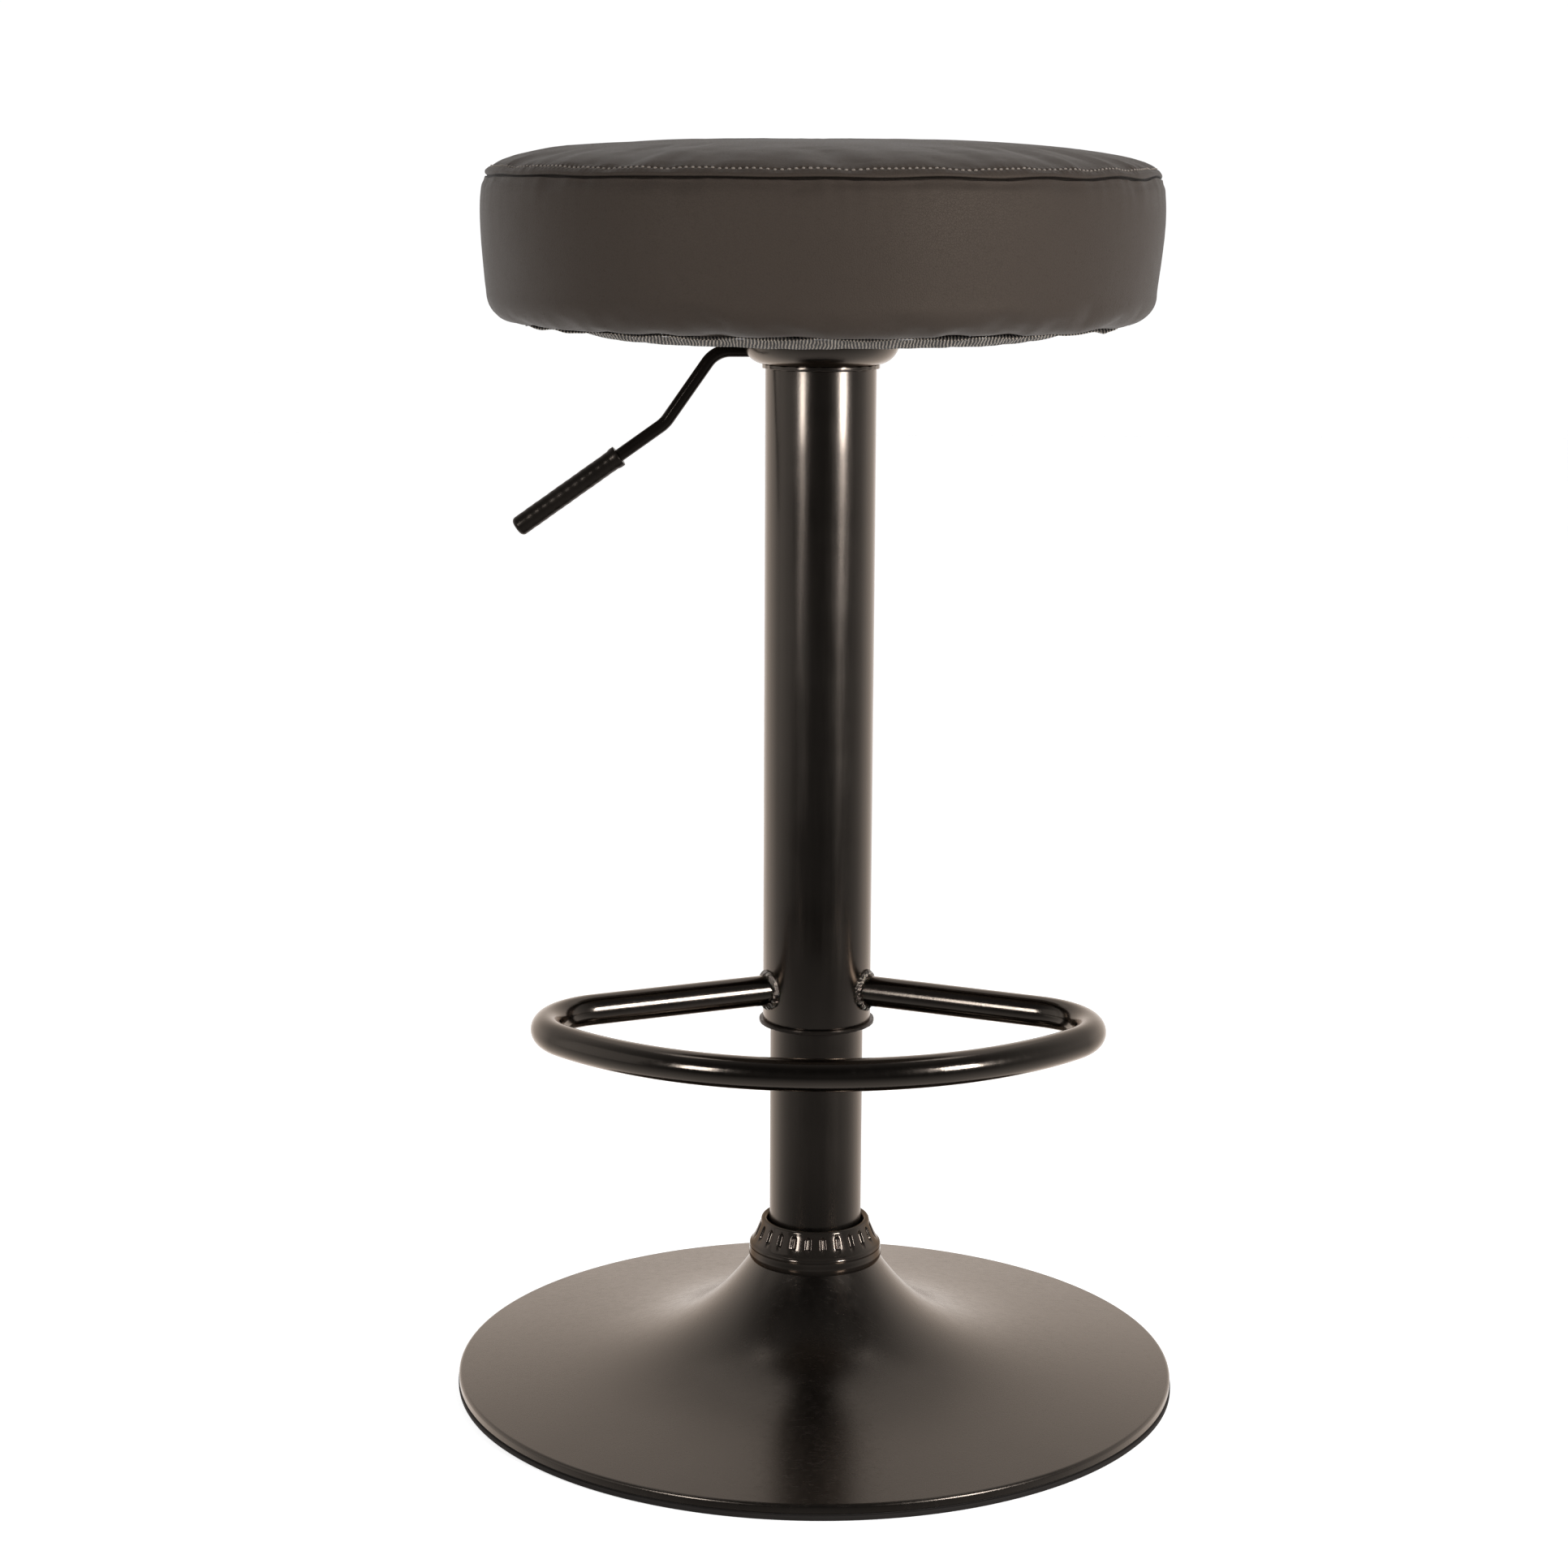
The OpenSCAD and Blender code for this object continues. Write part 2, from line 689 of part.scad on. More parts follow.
module release_pin() {
    color(steel) at_height(cylinder_top_z + pin_proud - pin_len) {
        cylinder(d = pin_d, h = pin_len - 0.6);
        at_height(pin_len - 0.6) cylinder(d1 = pin_d, d2 = pin_d - 1.2, h = 0.6);
    }
}

// Bent rod: a tongue over the valve pin, a riser, the hinge boss and the arm out to the grip
module lever_rod() {
    r = lever_d / 2;
    color(black) difference() {
        union() {
            rod([tongue_reach, tongue_z], [pivot_x - r, tongue_z], r);
            rod([pivot_x, tongue_z + r], [pivot_x, pivot_z], r);
            translate([pivot_x, -boss_w / 2, pivot_z]) rotate([-90, 0, 0])
                cylinder(r = boss_r, h = boss_w);
            rotate([90, 0, 0]) bent_bar(lever_path(), r, 20);
        }
        translate([pivot_x, -boss_w, pivot_z]) rotate([-90, 0, 0])
            cylinder(d = pivot_d + 2 * run_gap, h = 2 * boss_w);
    }
}

// The arm outside the boss: level, a bend down, a slope, an easier bend and the end in the grip
function lever_path() =
    let (turn1 = atan2(lever_drop[1], lever_drop[0]),
        turn2 = turn1 - atan2(lever_sweep[1], lever_sweep[0]),
        slope = lever_drop / norm(lever_drop),
        bend_in = knee + [lever_bend * tan(turn1 / 2), 0],
        turn_in = elbow + slope * elbow_bend * tan(turn2 / 2),
        centre = turn_in + [-slope[1], slope[0]] * elbow_bend)
    concat([[pivot_x, pivot_z]],
        arc(bend_in[0], bend_in[1] - lever_bend, lever_bend, lever_bend, 90, 90 + turn1, 6),
        arc(centre[0], centre[1], elbow_bend, elbow_bend, turn1 - 90, turn1 - 90 - turn2, 4),
        [grip_start - grip_dir * (grip_len - grip_plug)]);

module lever_grip() {
    tip = 2.4;
    angle = atan2(grip_dir[1], grip_dir[0]);
    hole = grip_len - grip_plug + lay_gap;
    r = lever_d / 2 + grip_wall;
    profile = concat([[lever_d / 2 + run_gap, 0], [r + 0.5, 0], [r + 0.5, 2.5], [r, 5]],
        arc(r - tip, grip_len - tip, tip, tip, 0, 90, 6), [[0, grip_len], [0, hole],
        [lever_d / 2 + run_gap, hole]]);
    color([0.12, 0.12, 0.12]) translate([grip_start[0], 0, grip_start[1]])
        rotate([0, -90 - angle, 0]) rotate_extrude() polygon(profile);
}

base_shell();
rim_ring();
ballast_plate();
ballast_bolts();
hub_socket();
base_collar();
standing_tube();
tube_end_plate();
guide_bush();
bearing_lower_race();
bearing_cage();
bearing_balls();
bearing_upper_race();
piston_rod();
piston();
piston_seal();
rod_clip();
bottom_buffer();
gas_cylinder();
cylinder_gland();
outer_tube();
slide_bush();
top_cap();
footrest_bar();
footrest_welds();
taper_socket();
bell_cover();
mount_plate();
lever_bracket();
pivot_pin();
mount_bolts();
mount_washers();
tee_nuts();
seat_board();
seat_foam();
cover_top();
cover_side();
dust_cover();
staples();
release_pin();
lever_rod();
lever_grip();
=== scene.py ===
# Bar stool on a gas lift column: round padded seat, D-shaped footrest, round base.
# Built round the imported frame, in metres, with the floor at z = 0.
import math
import bpy
import bmesh
import numpy as np
from mathutils import Vector, Matrix


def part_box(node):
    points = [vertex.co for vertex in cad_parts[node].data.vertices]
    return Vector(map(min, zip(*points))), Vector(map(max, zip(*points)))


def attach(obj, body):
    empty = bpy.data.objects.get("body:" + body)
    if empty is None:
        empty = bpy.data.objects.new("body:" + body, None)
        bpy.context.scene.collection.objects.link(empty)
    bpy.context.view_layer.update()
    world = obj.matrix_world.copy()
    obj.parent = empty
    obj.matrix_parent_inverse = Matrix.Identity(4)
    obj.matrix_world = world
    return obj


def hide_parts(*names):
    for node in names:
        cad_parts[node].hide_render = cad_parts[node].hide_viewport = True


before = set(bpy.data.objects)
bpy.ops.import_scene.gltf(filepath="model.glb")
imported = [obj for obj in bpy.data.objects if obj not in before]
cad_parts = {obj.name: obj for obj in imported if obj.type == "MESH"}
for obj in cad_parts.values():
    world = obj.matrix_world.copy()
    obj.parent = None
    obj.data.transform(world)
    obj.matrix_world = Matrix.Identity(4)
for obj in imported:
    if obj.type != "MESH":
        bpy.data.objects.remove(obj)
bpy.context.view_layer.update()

mm = 0.001
print("frame loaded,", len(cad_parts), "nodes")


# ---- meshes ----

def linked(name, data):
    piece = bpy.data.objects.new(name, data)
    bpy.context.scene.collection.objects.link(piece)
    return piece


def meshObject(name, points, faces, uv=None, material=None):
    mesh = bpy.data.meshes.new(name)
    mesh.from_pydata([tuple(p) for p in points], [], faces)
    mesh.validate()
    if uv is not None:
        layer = mesh.uv_layers.new(name="skin")
        layer.data.foreach_set("uv", np.asarray(uv, np.float32).ravel())
    mesh.shade_smooth()
    if material:
        mesh.materials.append(material)
    return linked(name, mesh)


# A plain mesh in place of a piece and its modifiers
def baked(piece, name):
    bpy.context.view_layer.update()
    mesh = bpy.data.meshes.new_from_object(piece.evaluated_get(bpy.context.evaluated_depsgraph_get()))
    done = linked("made", mesh)
    bpy.data.objects.remove(piece)
    done.name = name
    mesh.name = name
    return done


# What a finished piece rides on and which CAD nodes it stands for; slotName, its finish, is not used
def settle(made, body, slotName, *nodes):
    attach(made, body)
    if nodes:
        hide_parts(*nodes)


def creased(piece, angle):
    piece.data.set_sharp_from_angle(angle=math.radians(angle))
    return piece


# One mesh from several
def joined(name, pieces):
    made = bmesh.new()
    for piece in pieces:
        made.from_mesh(piece.data)
    mesh = bpy.data.meshes.new(name)
    made.to_mesh(mesh)
    made.free()
    for material in pieces[0].data.materials:
        mesh.materials.append(material)
    for piece in pieces:
        bpy.data.objects.remove(piece)
    return linked(name, mesh)


def aroundTurn(count):
    return np.arange(count) * 2 * math.pi / count


# Points in space from radius, height and the way round
def spun(radius, height, turn):
    return np.stack([radius * np.cos(turn), radius * np.sin(turn), height], -1)


# Four-sided faces between rings of points; flipped ones face the other way
def ringFaces(rings, sides, closed=True, flipped=False):
    faces = []
    for i in range(rings if closed else rings - 1):
        here, after = i * sides, (i + 1) % rings * sides
        for k in range(sides):
            m = (k + 1) % sides
            face = (here + k, here + m, after + m, after + k)
            faces.append((face[0], face[3], face[2], face[1]) if flipped else face)
    return faces


# A plane outline with its corners rounded, in millimetres
def softCorners(outline, radius, steps=3, closed=True):
    done = []
    count = len(outline)
    for i, here in enumerate(outline):
        here = np.array(here, float)
        if not closed and i in (0, count - 1):
            done.append(here)
            continue
        before = np.array(outline[i - 1], float) - here
        after = np.array(outline[(i + 1) % count], float) - here
        lengths = np.linalg.norm(before), np.linalg.norm(after)
        if min(lengths) < 1e-6:
            continue
        before /= lengths[0]
        after /= lengths[1]
        turn = math.acos(max(-1, min(1, float(before @ after))))
        if turn > math.radians(155):
            done.append(here)
            continue
        reach = min(radius / math.tan(turn / 2), 0.45 * min(lengths))
        start = here + before * reach
        end = here + after * reach
        for k in range(steps + 1):
            t = k / steps
            done.append((1 - t) ** 2 * start + 2 * t * (1 - t) * here + t * t * end)
    return [tuple(p) for p in done]


# A closed surface of revolution about Z from an outline in millimetres, anticlockwise as (radius, height)
def turned(name, outline, segments, material, sharp=40, shift=None):
    outline = np.array(outline, float)
    rows = len(outline)
    turn = aroundTurn(segments)
    radius = np.repeat(outline[:, :1], segments, 1)
    height = np.repeat(outline[:, 1:], segments, 1)
    if shift is not None:
        radius, height = shift(radius, height, np.tile(turn, (rows, 1)))
    points = spun(radius, height, turn).reshape(-1, 3) * mm
    piece = meshObject(name, points, ringFaces(rows, segments), None, material)
    if outline[:, 0].min() < 1e-6:
        cleaned(piece)
    return creased(piece, sharp)


# Doubles merged and faces turned outwards
def cleaned(piece):
    work = bmesh.new()
    work.from_mesh(piece.data)
    bmesh.ops.remove_doubles(work, verts=work.verts, dist=1e-7)
    bmesh.ops.dissolve_degenerate(work, dist=1e-8, edges=work.edges)
    bmesh.ops.recalc_face_normals(work, faces=work.faces)
    work.to_mesh(piece.data)
    work.free()


# A round bar along points in millimetres, with one radius or a radius at each point
def swept(name, path, radii, sides, material, closed=False, up=(0, 0, 1), sharp=50):
    path = np.array(path, float)
    count = len(path)
    radii = np.broadcast_to(np.asarray(radii, float), (count,))
    if closed:
        along = np.roll(path, -1, 0) - np.roll(path, 1, 0)
    else:
        along = np.gradient(path, axis=0)
    along /= np.linalg.norm(along, axis=1)[:, None]
    side = np.cross(along, np.array(up, float))
    side /= np.linalg.norm(side, axis=1)[:, None]
    top = np.cross(side, along)
    turn = aroundTurn(sides)
    ring = np.cos(turn)[None, :, None] * side[:, None, :] + np.sin(turn)[None, :, None] * top[:, None, :]
    points = (path[:, None, :] + ring * radii[:, None, None]).reshape(-1, 3)
    faces = ringFaces(count, sides, closed)
    if not closed:
        faces.append(tuple(range(sides - 1, -1, -1)))
        faces.append(tuple((count - 1) * sides + k for k in range(sides)))
    piece = meshObject(name, points * mm, faces, None, material)
    cleaned(piece)
    return creased(piece, sharp)


# Points on an arc, in degrees
def arc(cx, cz, rx, rz, a, b, n):
    angles = [math.radians(a + (b - a) * i / n) for i in range(n + 1)]
    return [(cx + rx * math.cos(w), cz + rz * math.sin(w)) for w in angles]


# Sum of a few waves round the stool, about -1 to 1
def ripple(turn, low, high, seed, parts=9):
    rng = np.random.default_rng(seed)
    total = np.zeros_like(turn)
    for _ in range(parts):
        waves = int(rng.integers(low, high + 1))
        total += rng.uniform(0.5, 1) * np.sin(waves * turn + rng.uniform(0, 2 * math.pi))
    return total / (0.75 * parts) ** 0.5 * 0.8


# ---- materials ----

def newMaterial(name):
    material = bpy.data.materials.new(name)
    material.use_nodes = True
    tree = material.node_tree
    tree.nodes.clear()
    shader = tree.nodes.new("ShaderNodeBsdfPrincipled")
    out = tree.nodes.new("ShaderNodeOutputMaterial")
    tree.links.new(shader.outputs["BSDF"], out.inputs["Surface"])
    return material, tree, shader


# A node with its settings and inputs; an input may be a value or another node's socket
def put(tree, kind, inputs=None, **settings):
    node = tree.nodes.new(kind)
    for key, value in settings.items():
        setattr(node, key, value)
    for key, value in (inputs or {}).items():
        if isinstance(value, bpy.types.NodeSocket):
            tree.links.new(value, node.inputs[key])
        else:
            node.inputs[key].default_value = value
    return node


# The piece's own place in space, scaled and turned
def place(tree, scale=(1, 1, 1), turn=(0, 0, 0)):
    where = put(tree, "ShaderNodeTexCoord")
    return put(tree, "ShaderNodeMapping",
               {"Vector": where.outputs["Object"], "Scale": scale, "Rotation": turn}).outputs[0]


def noise(tree, vector, scale, detail=4, rough=0.5):
    return put(tree, "ShaderNodeTexNoise",
               {"Vector": vector, "Scale": scale, "Detail": detail, "Roughness": rough}).outputs["Fac"]


# A value between low and high as the factor goes between two ends
def span(tree, factor, low, high, start=0.3, end=0.7):
    return put(tree, "ShaderNodeMapRange",
               {"Value": factor, "From Min": start, "From Max": end, "To Min": low, "To Max": high}
               ).outputs["Result"]


def twoColours(tree, factor, first, second):
    return put(tree, "ShaderNodeMix", {0: factor, 6: (*first, 1), 7: (*second, 1)},
               data_type="RGBA").outputs[2]


def bumps(tree, height, strength, distance, under=None):
    inputs = {"Height": height, "Strength": strength, "Distance": distance}
    if under:
        inputs["Normal"] = under
    return put(tree, "ShaderNodeBump", inputs).outputs[0]


def calc(tree, operation, a, b=0.0, clamp=False):
    return put(tree, "ShaderNodeMath", {0: a, 1: b}, operation=operation, use_clamp=clamp).outputs[0]


def times(tree, a, b, clamp=False):
    return calc(tree, "MULTIPLY", a, b, clamp)


def plus(tree, a, b):
    return calc(tree, "ADD", a, b)


# Cells' distance from their middles, or another of the texture's outputs
def cellNoise(tree, vector, scale, output="Distance"):
    return put(tree, "ShaderNodeTexVoronoi", {"Vector": vector, "Scale": scale}).outputs[output]


# A piece's skin map, and its two ways apart, in metres
def skinWays(tree):
    skin = put(tree, "ShaderNodeUVMap", uv_map="skin").outputs[0]
    parts = put(tree, "ShaderNodeSeparateXYZ", {0: skin})
    return skin, parts.outputs[0], parts.outputs[1]


# Sets the shader's sockets, by value or from another node's socket
def wire(tree, shader, **sockets):
    for key, value in sockets.items():
        name = key.replace("_", " ")
        if isinstance(value, bpy.types.NodeSocket):
            tree.links.new(value, shader.inputs[name])
        else:
            shader.inputs[name].default_value = value


satinBrown = dict(dark=(0.072, 0.061, 0.052), light=(0.094, 0.080, 0.069), roughness=(0.19, 0.25), peel=0.04,
                  edge=(1.0, 0.91, 0.84))


# Satin brown metallic lacquer on steel, with faint orange peel, dust nibs and handling marks
def makeSatinBrown(name, rubbed=0.0, dull=0.0):
    material, tree, shader = newMaterial(name)
    here = place(tree)
    cloud = noise(tree, here, 14, 5, 0.6)
    peel = noise(tree, here, 900, 2, 0.4)
    nibs = cellNoise(tree, here, 300.0)
    streak = noise(tree, place(tree, scale=(1, 1, 0.06)), 260, 3, 0.6)
    wire(tree, shader, Base_Color=twoColours(tree, cloud, satinBrown["dark"], satinBrown["light"]),
         Metallic=1.0, Specular_Tint=(*satinBrown["edge"], 1))
    low, high = satinBrown["roughness"]
    rough = plus(tree, span(tree, cloud, low + dull, high + dull), span(tree, streak, -0.02, 0.03))
    if rubbed:
        scuff = noise(tree, place(tree, scale=(1, 6, 1)), 120, 6, 0.7)
        rough = plus(tree, rough, span(tree, scuff, 0.0, rubbed, 0.55, 0.72))
    wire(tree, shader, Roughness=rough)
    first = bumps(tree, peel, satinBrown["peel"], 0.0004)
    wire(tree, shader, Normal=bumps(tree, span(tree, nibs, 1.0, 0.0, 0.0, 0.1), 0.05, 0.0001, first))
    return material


darkEdge = (0.5, 0.42, 0.36, 1)  # keeps the rims from going pale against the backdrop


# Glossy black plastic or enamel over a faintly wavy surface
def makeGlossBlack(name, colour, roughness, metal, peel):
    material, tree, shader = newMaterial(name)
    here = place(tree)
    cloud = noise(tree, here, 60, 4, 0.6)
    smear = noise(tree, here, 300, 5, 0.65)
    lighter = tuple(c * 1.5 for c in colour)
    wire(tree, shader, Base_Color=twoColours(tree, cloud, colour, lighter), Metallic=metal,
         Specular_Tint=darkEdge, Roughness=span(tree, smear, roughness * 0.8, roughness * 1.3))
    wire(tree, shader, Normal=bumps(tree, noise(tree, here, 700, 3, 0.5), peel, 0.0003))
    return material


# Moulded plastic with a fine spark-eroded grain
def makePlastic(name, colour, roughness, grain=1500.0):
    material, tree, shader = newMaterial(name)
    here = place(tree)
    cloud = noise(tree, here, 45, 4, 0.6)
    lighter = tuple(c * 1.6 for c in colour)
    pits = cellNoise(tree, here, grain)
    wire(tree, shader, Base_Color=twoColours(tree, cloud, colour, lighter), Metallic=0.5,
         Specular_Tint=darkEdge)
    wire(tree, shader, Roughness=span(tree, cloud, roughness - 0.06, roughness + 0.06))
    wire(tree, shader, Normal=bumps(tree, pits, 0.08, 0.0002))
    return material


# Zinc plate, drawn steel or cast iron, by its colours
def makeSteel(name, dark, light, roughness, lines, metal=1.0):
    material, tree, shader = newMaterial(name)
    spread = noise(tree, place(tree, scale=(1, 1, 0.05)), lines, 5, 0.65)
    cells = cellNoise(tree, place(tree), 240.0, "Color")
    tone = put(tree, "ShaderNodeSeparateColor", {0: cells}).outputs[0]
    mixed = plus(tree, times(tree, spread, 0.6), times(tree, tone, 0.4))
    wire(tree, shader, Base_Color=twoColours(tree, mixed, dark, light), Metallic=metal)
    wire(tree, shader, Roughness=span(tree, mixed, roughness - 0.07, roughness + 0.1))
    wire(tree, shader, Normal=bumps(tree, spread, 0.1, 0.0003))
    return material


# Birch ply: long face grain, plies on the edge
def makePly(name):
    material, tree, shader = newMaterial(name)
    grain = noise(tree, place(tree, scale=(14, 220, 60)), 1.0, 8, 0.62)
    plies = put(tree, "ShaderNodeTexWave", {"Vector": place(tree), "Scale": 75.0, "Distortion": 0.6,
                                            "Detail": 3.0}, bands_direction="Z").outputs["Fac"]
    tone = times(tree, plus(tree, grain, times(tree, plies, 0.35)), 0.8)
    wire(tree, shader, Base_Color=twoColours(tree, tone, (0.36, 0.21, 0.1), (0.68, 0.5, 0.3)))
    wire(tree, shader, Roughness=span(tree, grain, 0.6, 0.8))
    wire(tree, shader, Normal=bumps(tree, grain, 0.25, 0.0005))
    return material


def makeFoam(name):
    material, tree, shader = newMaterial(name)
    cells = cellNoise(tree, place(tree), 900.0)
    wire(tree, shader, Base_Color=twoColours(tree, cells, (0.55, 0.48, 0.3), (0.82, 0.76, 0.55)))
    wire(tree, shader, Roughness=span(tree, cells, 0.85, 0.95))
    wire(tree, shader, Normal=bumps(tree, cells, 0.5, 0.0008))
    return material


# The darkest of these colours is painted shade for the seam's groove
leather = dict(dark=(0.0375, 0.0288, 0.0235), light=(0.0530, 0.0418, 0.0348), seamShade=(0.004, 0.003, 0.0025),
               roughness=(0.5, 0.63), grain=780.0)


# Taupe faux leather. The skin map holds the way round the seat and the way down from the crown's
# centre, in metres, with the welt seam at seamAt and the topstitching just above it.
def makeLeather(name, seamAt, stitchAt, pitch):
    material, tree, shader = newMaterial(name)
    here = place(tree)
    wayRound, wayDown = skinWays(tree)[1:]
    cells = put(tree, "ShaderNodeTexVoronoi", {"Vector": here, "Scale": leather["grain"],
                "Detail": 1.0}, feature="DISTANCE_TO_EDGE").outputs["Distance"]
    valleys = span(tree, cells, 0.0, 1.0, 0.0, 0.09)
    pores = noise(tree, here, 2600, 2, 0.5)
    cloud = noise(tree, here, 9, 5, 0.6)
    soft = noise(tree, here, 60, 3, 0.5)
    shade = plus(tree, times(tree, cloud, 0.7), times(tree, valleys, 0.3))
    tone = twoColours(tree, shade, leather["dark"], leather["light"])
    # A near-black line painted along the seam stands in for the shade in its groove
    fromSeam = calc(tree, "ABSOLUTE", calc(tree, "SUBTRACT", wayDown, seamAt))
    seamShadeMask = span(tree, fromSeam, 1.0, 0.0, 0.0005, 0.0010)
    wire(tree, shader, Base_Color=put(tree, "ShaderNodeMix", {0: seamShadeMask, 6: tone, 7: (*leather["seamShade"], 1)},
                                      data_type="RGBA").outputs[2])
    low, high = leather["roughness"]
    wire(tree, shader, Roughness=plus(tree, span(tree, cloud, low, high),
                                      span(tree, valleys, 0.07, 0.0, 0.0, 1.0)))
    wire(tree, shader, Specular_IOR_Level=0.2, Specular_Tint=(1, 0.82, 0.67, 1), Sheen_Weight=0.04,
         Sheen_Roughness=0.4, Sheen_Tint=(1, 0.86, 0.75, 1))
    # each stitch pulls the leather down at its two ends
    fromRow = calc(tree, "ABSOLUTE", calc(tree, "SUBTRACT", wayDown, stitchAt))
    nearRow = span(tree, fromRow, 1.0, 0.0, 0.0004, 0.0032)
    beat = calc(tree, "COSINE", times(tree, wayRound, 2 * math.pi / pitch))
    first = bumps(tree, times(tree, beat, nearRow), 0.35, 0.0004)
    second = bumps(tree, soft, 0.12, 0.0015, first)
    third = bumps(tree, valleys, 0.32, 0.0002, second)
    wire(tree, shader, Normal=bumps(tree, pores, 0.1, 0.0001, third))
    return material


def makeThread(name, colour):
    material, tree, shader = newMaterial(name)
    twist = put(tree, "ShaderNodeTexWave", {"Vector": place(tree, turn=(0.5, 0.6, 0.3)), "Scale": 420.0,
                                            "Distortion": 2.0}).outputs["Fac"]
    darker = tuple(c * 0.7 for c in colour)
    wire(tree, shader, Base_Color=twoColours(tree, twist, darker, colour))
    wire(tree, shader, Roughness=span(tree, twist, 0.5, 0.75), Sheen_Weight=0.2)
    wire(tree, shader, Normal=bumps(tree, twist, 0.4, 0.0002))
    return material


weave = dict(ground=(0.014, 0.010, 0.008), thread=(0.58, 0.49, 0.40), ribs=0.00165, picks=0.0012)


# Ribbed woven dust cloth: dark ground with pale threads over it. The skin map is its flat pattern.
def makeWeave(name):
    material, tree, shader = newMaterial(name)
    skin, first, second = skinWays(tree)
    across = plus(tree, first, times(tree, noise(tree, skin, 60, 3, 0.6), 0.003))
    rib = calc(tree, "COSINE", times(tree, across, 2 * math.pi / weave["ribs"]))
    which = calc(tree, "FLOOR", calc(tree, "DIVIDE", across, weave["ribs"]))
    step = times(tree, calc(tree, "MODULO", which, 2.0), weave["picks"] / 2)
    pick = calc(tree, "COSINE", times(tree, plus(tree, second, step), 2 * math.pi / weave["picks"]))
    over = span(tree, rib, 0.0, 1.0, -0.1, 0.7)
    patch = noise(tree, skin, 160, 4, 0.7)
    pale = times(tree, times(tree, over, span(tree, pick, 0.7, 1.0, -0.6, 0.5)),
                 span(tree, patch, 0.45, 1.0, 0.38, 0.58), True)
    wire(tree, shader, Base_Color=twoColours(tree, pale, weave["ground"], weave["thread"]))
    wire(tree, shader, Roughness=span(tree, pale, 0.9, 0.7, 0.0, 1.0), Sheen_Weight=0.08,
         Sheen_Roughness=0.5)
    wire(tree, shader, Normal=bumps(tree, plus(tree, times(tree, rib, 0.6), pale), 0.6, 0.0006))
    return material


# Lacquered weld metal, mottled and rough with spatter
def makeWeldMetal(name):
    material, tree, shader = newMaterial(name)
    here = place(tree)
    cloud = noise(tree, here, 260, 5, 0.7)
    cells = cellNoise(tree, here, 620.0)
    wire(tree, shader, Base_Color=twoColours(tree, cloud, (0.06, 0.05, 0.043), (0.34, 0.3, 0.265)),
         Metallic=1.0, Roughness=span(tree, cloud, 0.08, 0.2))
    first = bumps(tree, cloud, 0.8, 0.0016)
    wire(tree, shader, Normal=bumps(tree, cells, 0.6, 0.0010, first))
    return material


# The seat's outline in millimetres; the leather's seam and stitches follow it
seat = dict(seamZ=639.4, seamR=169.8, crown=18.6, bulge=3.2, foot=583.0, lowR=153.8, low=16.0,
            underZ=567.0, hemR=118.8, cover=1.2, stitchAbove=5.5, pitch=3.3)


def crownLine(steps):
    p = 1 - (1 - np.linspace(0, 1, steps)) ** 1.8
    return np.stack([seat["seamR"] * p, seat["seamZ"] + seat["crown"] * (1 - p ** 3) ** (1 / 2.1)], 1)


def sideLine(steps):
    u = np.linspace(0, 1, steps)
    radius = seat["seamR"] + seat["bulge"] * np.sin(math.pi * u ** 0.6)
    side = np.stack([radius, seat["seamZ"] - (seat["seamZ"] - seat["foot"]) * u], 1)
    corner = np.array(arc(seat["lowR"], seat["foot"], seat["low"], seat["low"], -9, -90, 40))
    return np.concatenate([side[1:], corner])


def lengthAlong(line):
    return np.concatenate([[0], np.cumsum(np.linalg.norm(np.diff(line, axis=0), axis=1))])


crownFine = crownLine(3000)
seamAt = lengthAlong(crownFine)[-1]  # millimetres down the skin from the crown's centre
stitchAt = seamAt - seat["stitchAbove"]

frameBrown = makeSatinBrown("satinBrownLacquer")
standingBrown = makeSatinBrown("satinBrownLacquerStanding", 0.0, 0.08)
baseBrown = makeSatinBrown("satinBrownLacquerBase", 0.08, 0.02)
footBrown = makeSatinBrown("satinBrownLacquerFootrest", 0.08, -0.07)
weldMetal = makeWeldMetal("weldMetal")
collarBlack = makeGlossBlack("collarGlossBlack", (0.056, 0.047, 0.040), 0.10, 0.82, 0.02)
leverBlack = makeGlossBlack("leverBlackEnamel", (0.008, 0.0065, 0.0055), 0.13, 0.5, 0.04)
bushBlack = makePlastic("bushBlackPlastic", (0.020, 0.0165, 0.014), 0.24)
gripBlack = makePlastic("gripBlackVinyl", (0.012, 0.010, 0.0085), 0.27, 900.0)
rubber = makePlastic("blackRubber", (0.022, 0.020, 0.019), 0.72, 1100.0)
darkSteel = makeSteel("blackPaintedSteel", (0.015, 0.014, 0.013), (0.03, 0.028, 0.026), 0.42, 90, 0.0)
zinc = makeSteel("zincPlate", (0.52, 0.53, 0.55), (0.74, 0.74, 0.75), 0.3, 160)
polished = makeSteel("groundSteel", (0.6, 0.6, 0.6), (0.78, 0.77, 0.76), 0.14, 700)
iron = makeSteel("castIron", (0.07, 0.066, 0.062), (0.14, 0.13, 0.12), 0.55, 120, 0.6)
ply = makePly("birchPly")
foam = makeFoam("seatFoam")
seatLeather = makeLeather("taupeFauxLeather", seamAt * mm, stitchAt * mm, seat["pitch"] * mm)
thread = makeThread("beigeThread", (0.27, 0.225, 0.185))
dustWeave = makeWeave("dustClothWeave")
print("materials made")

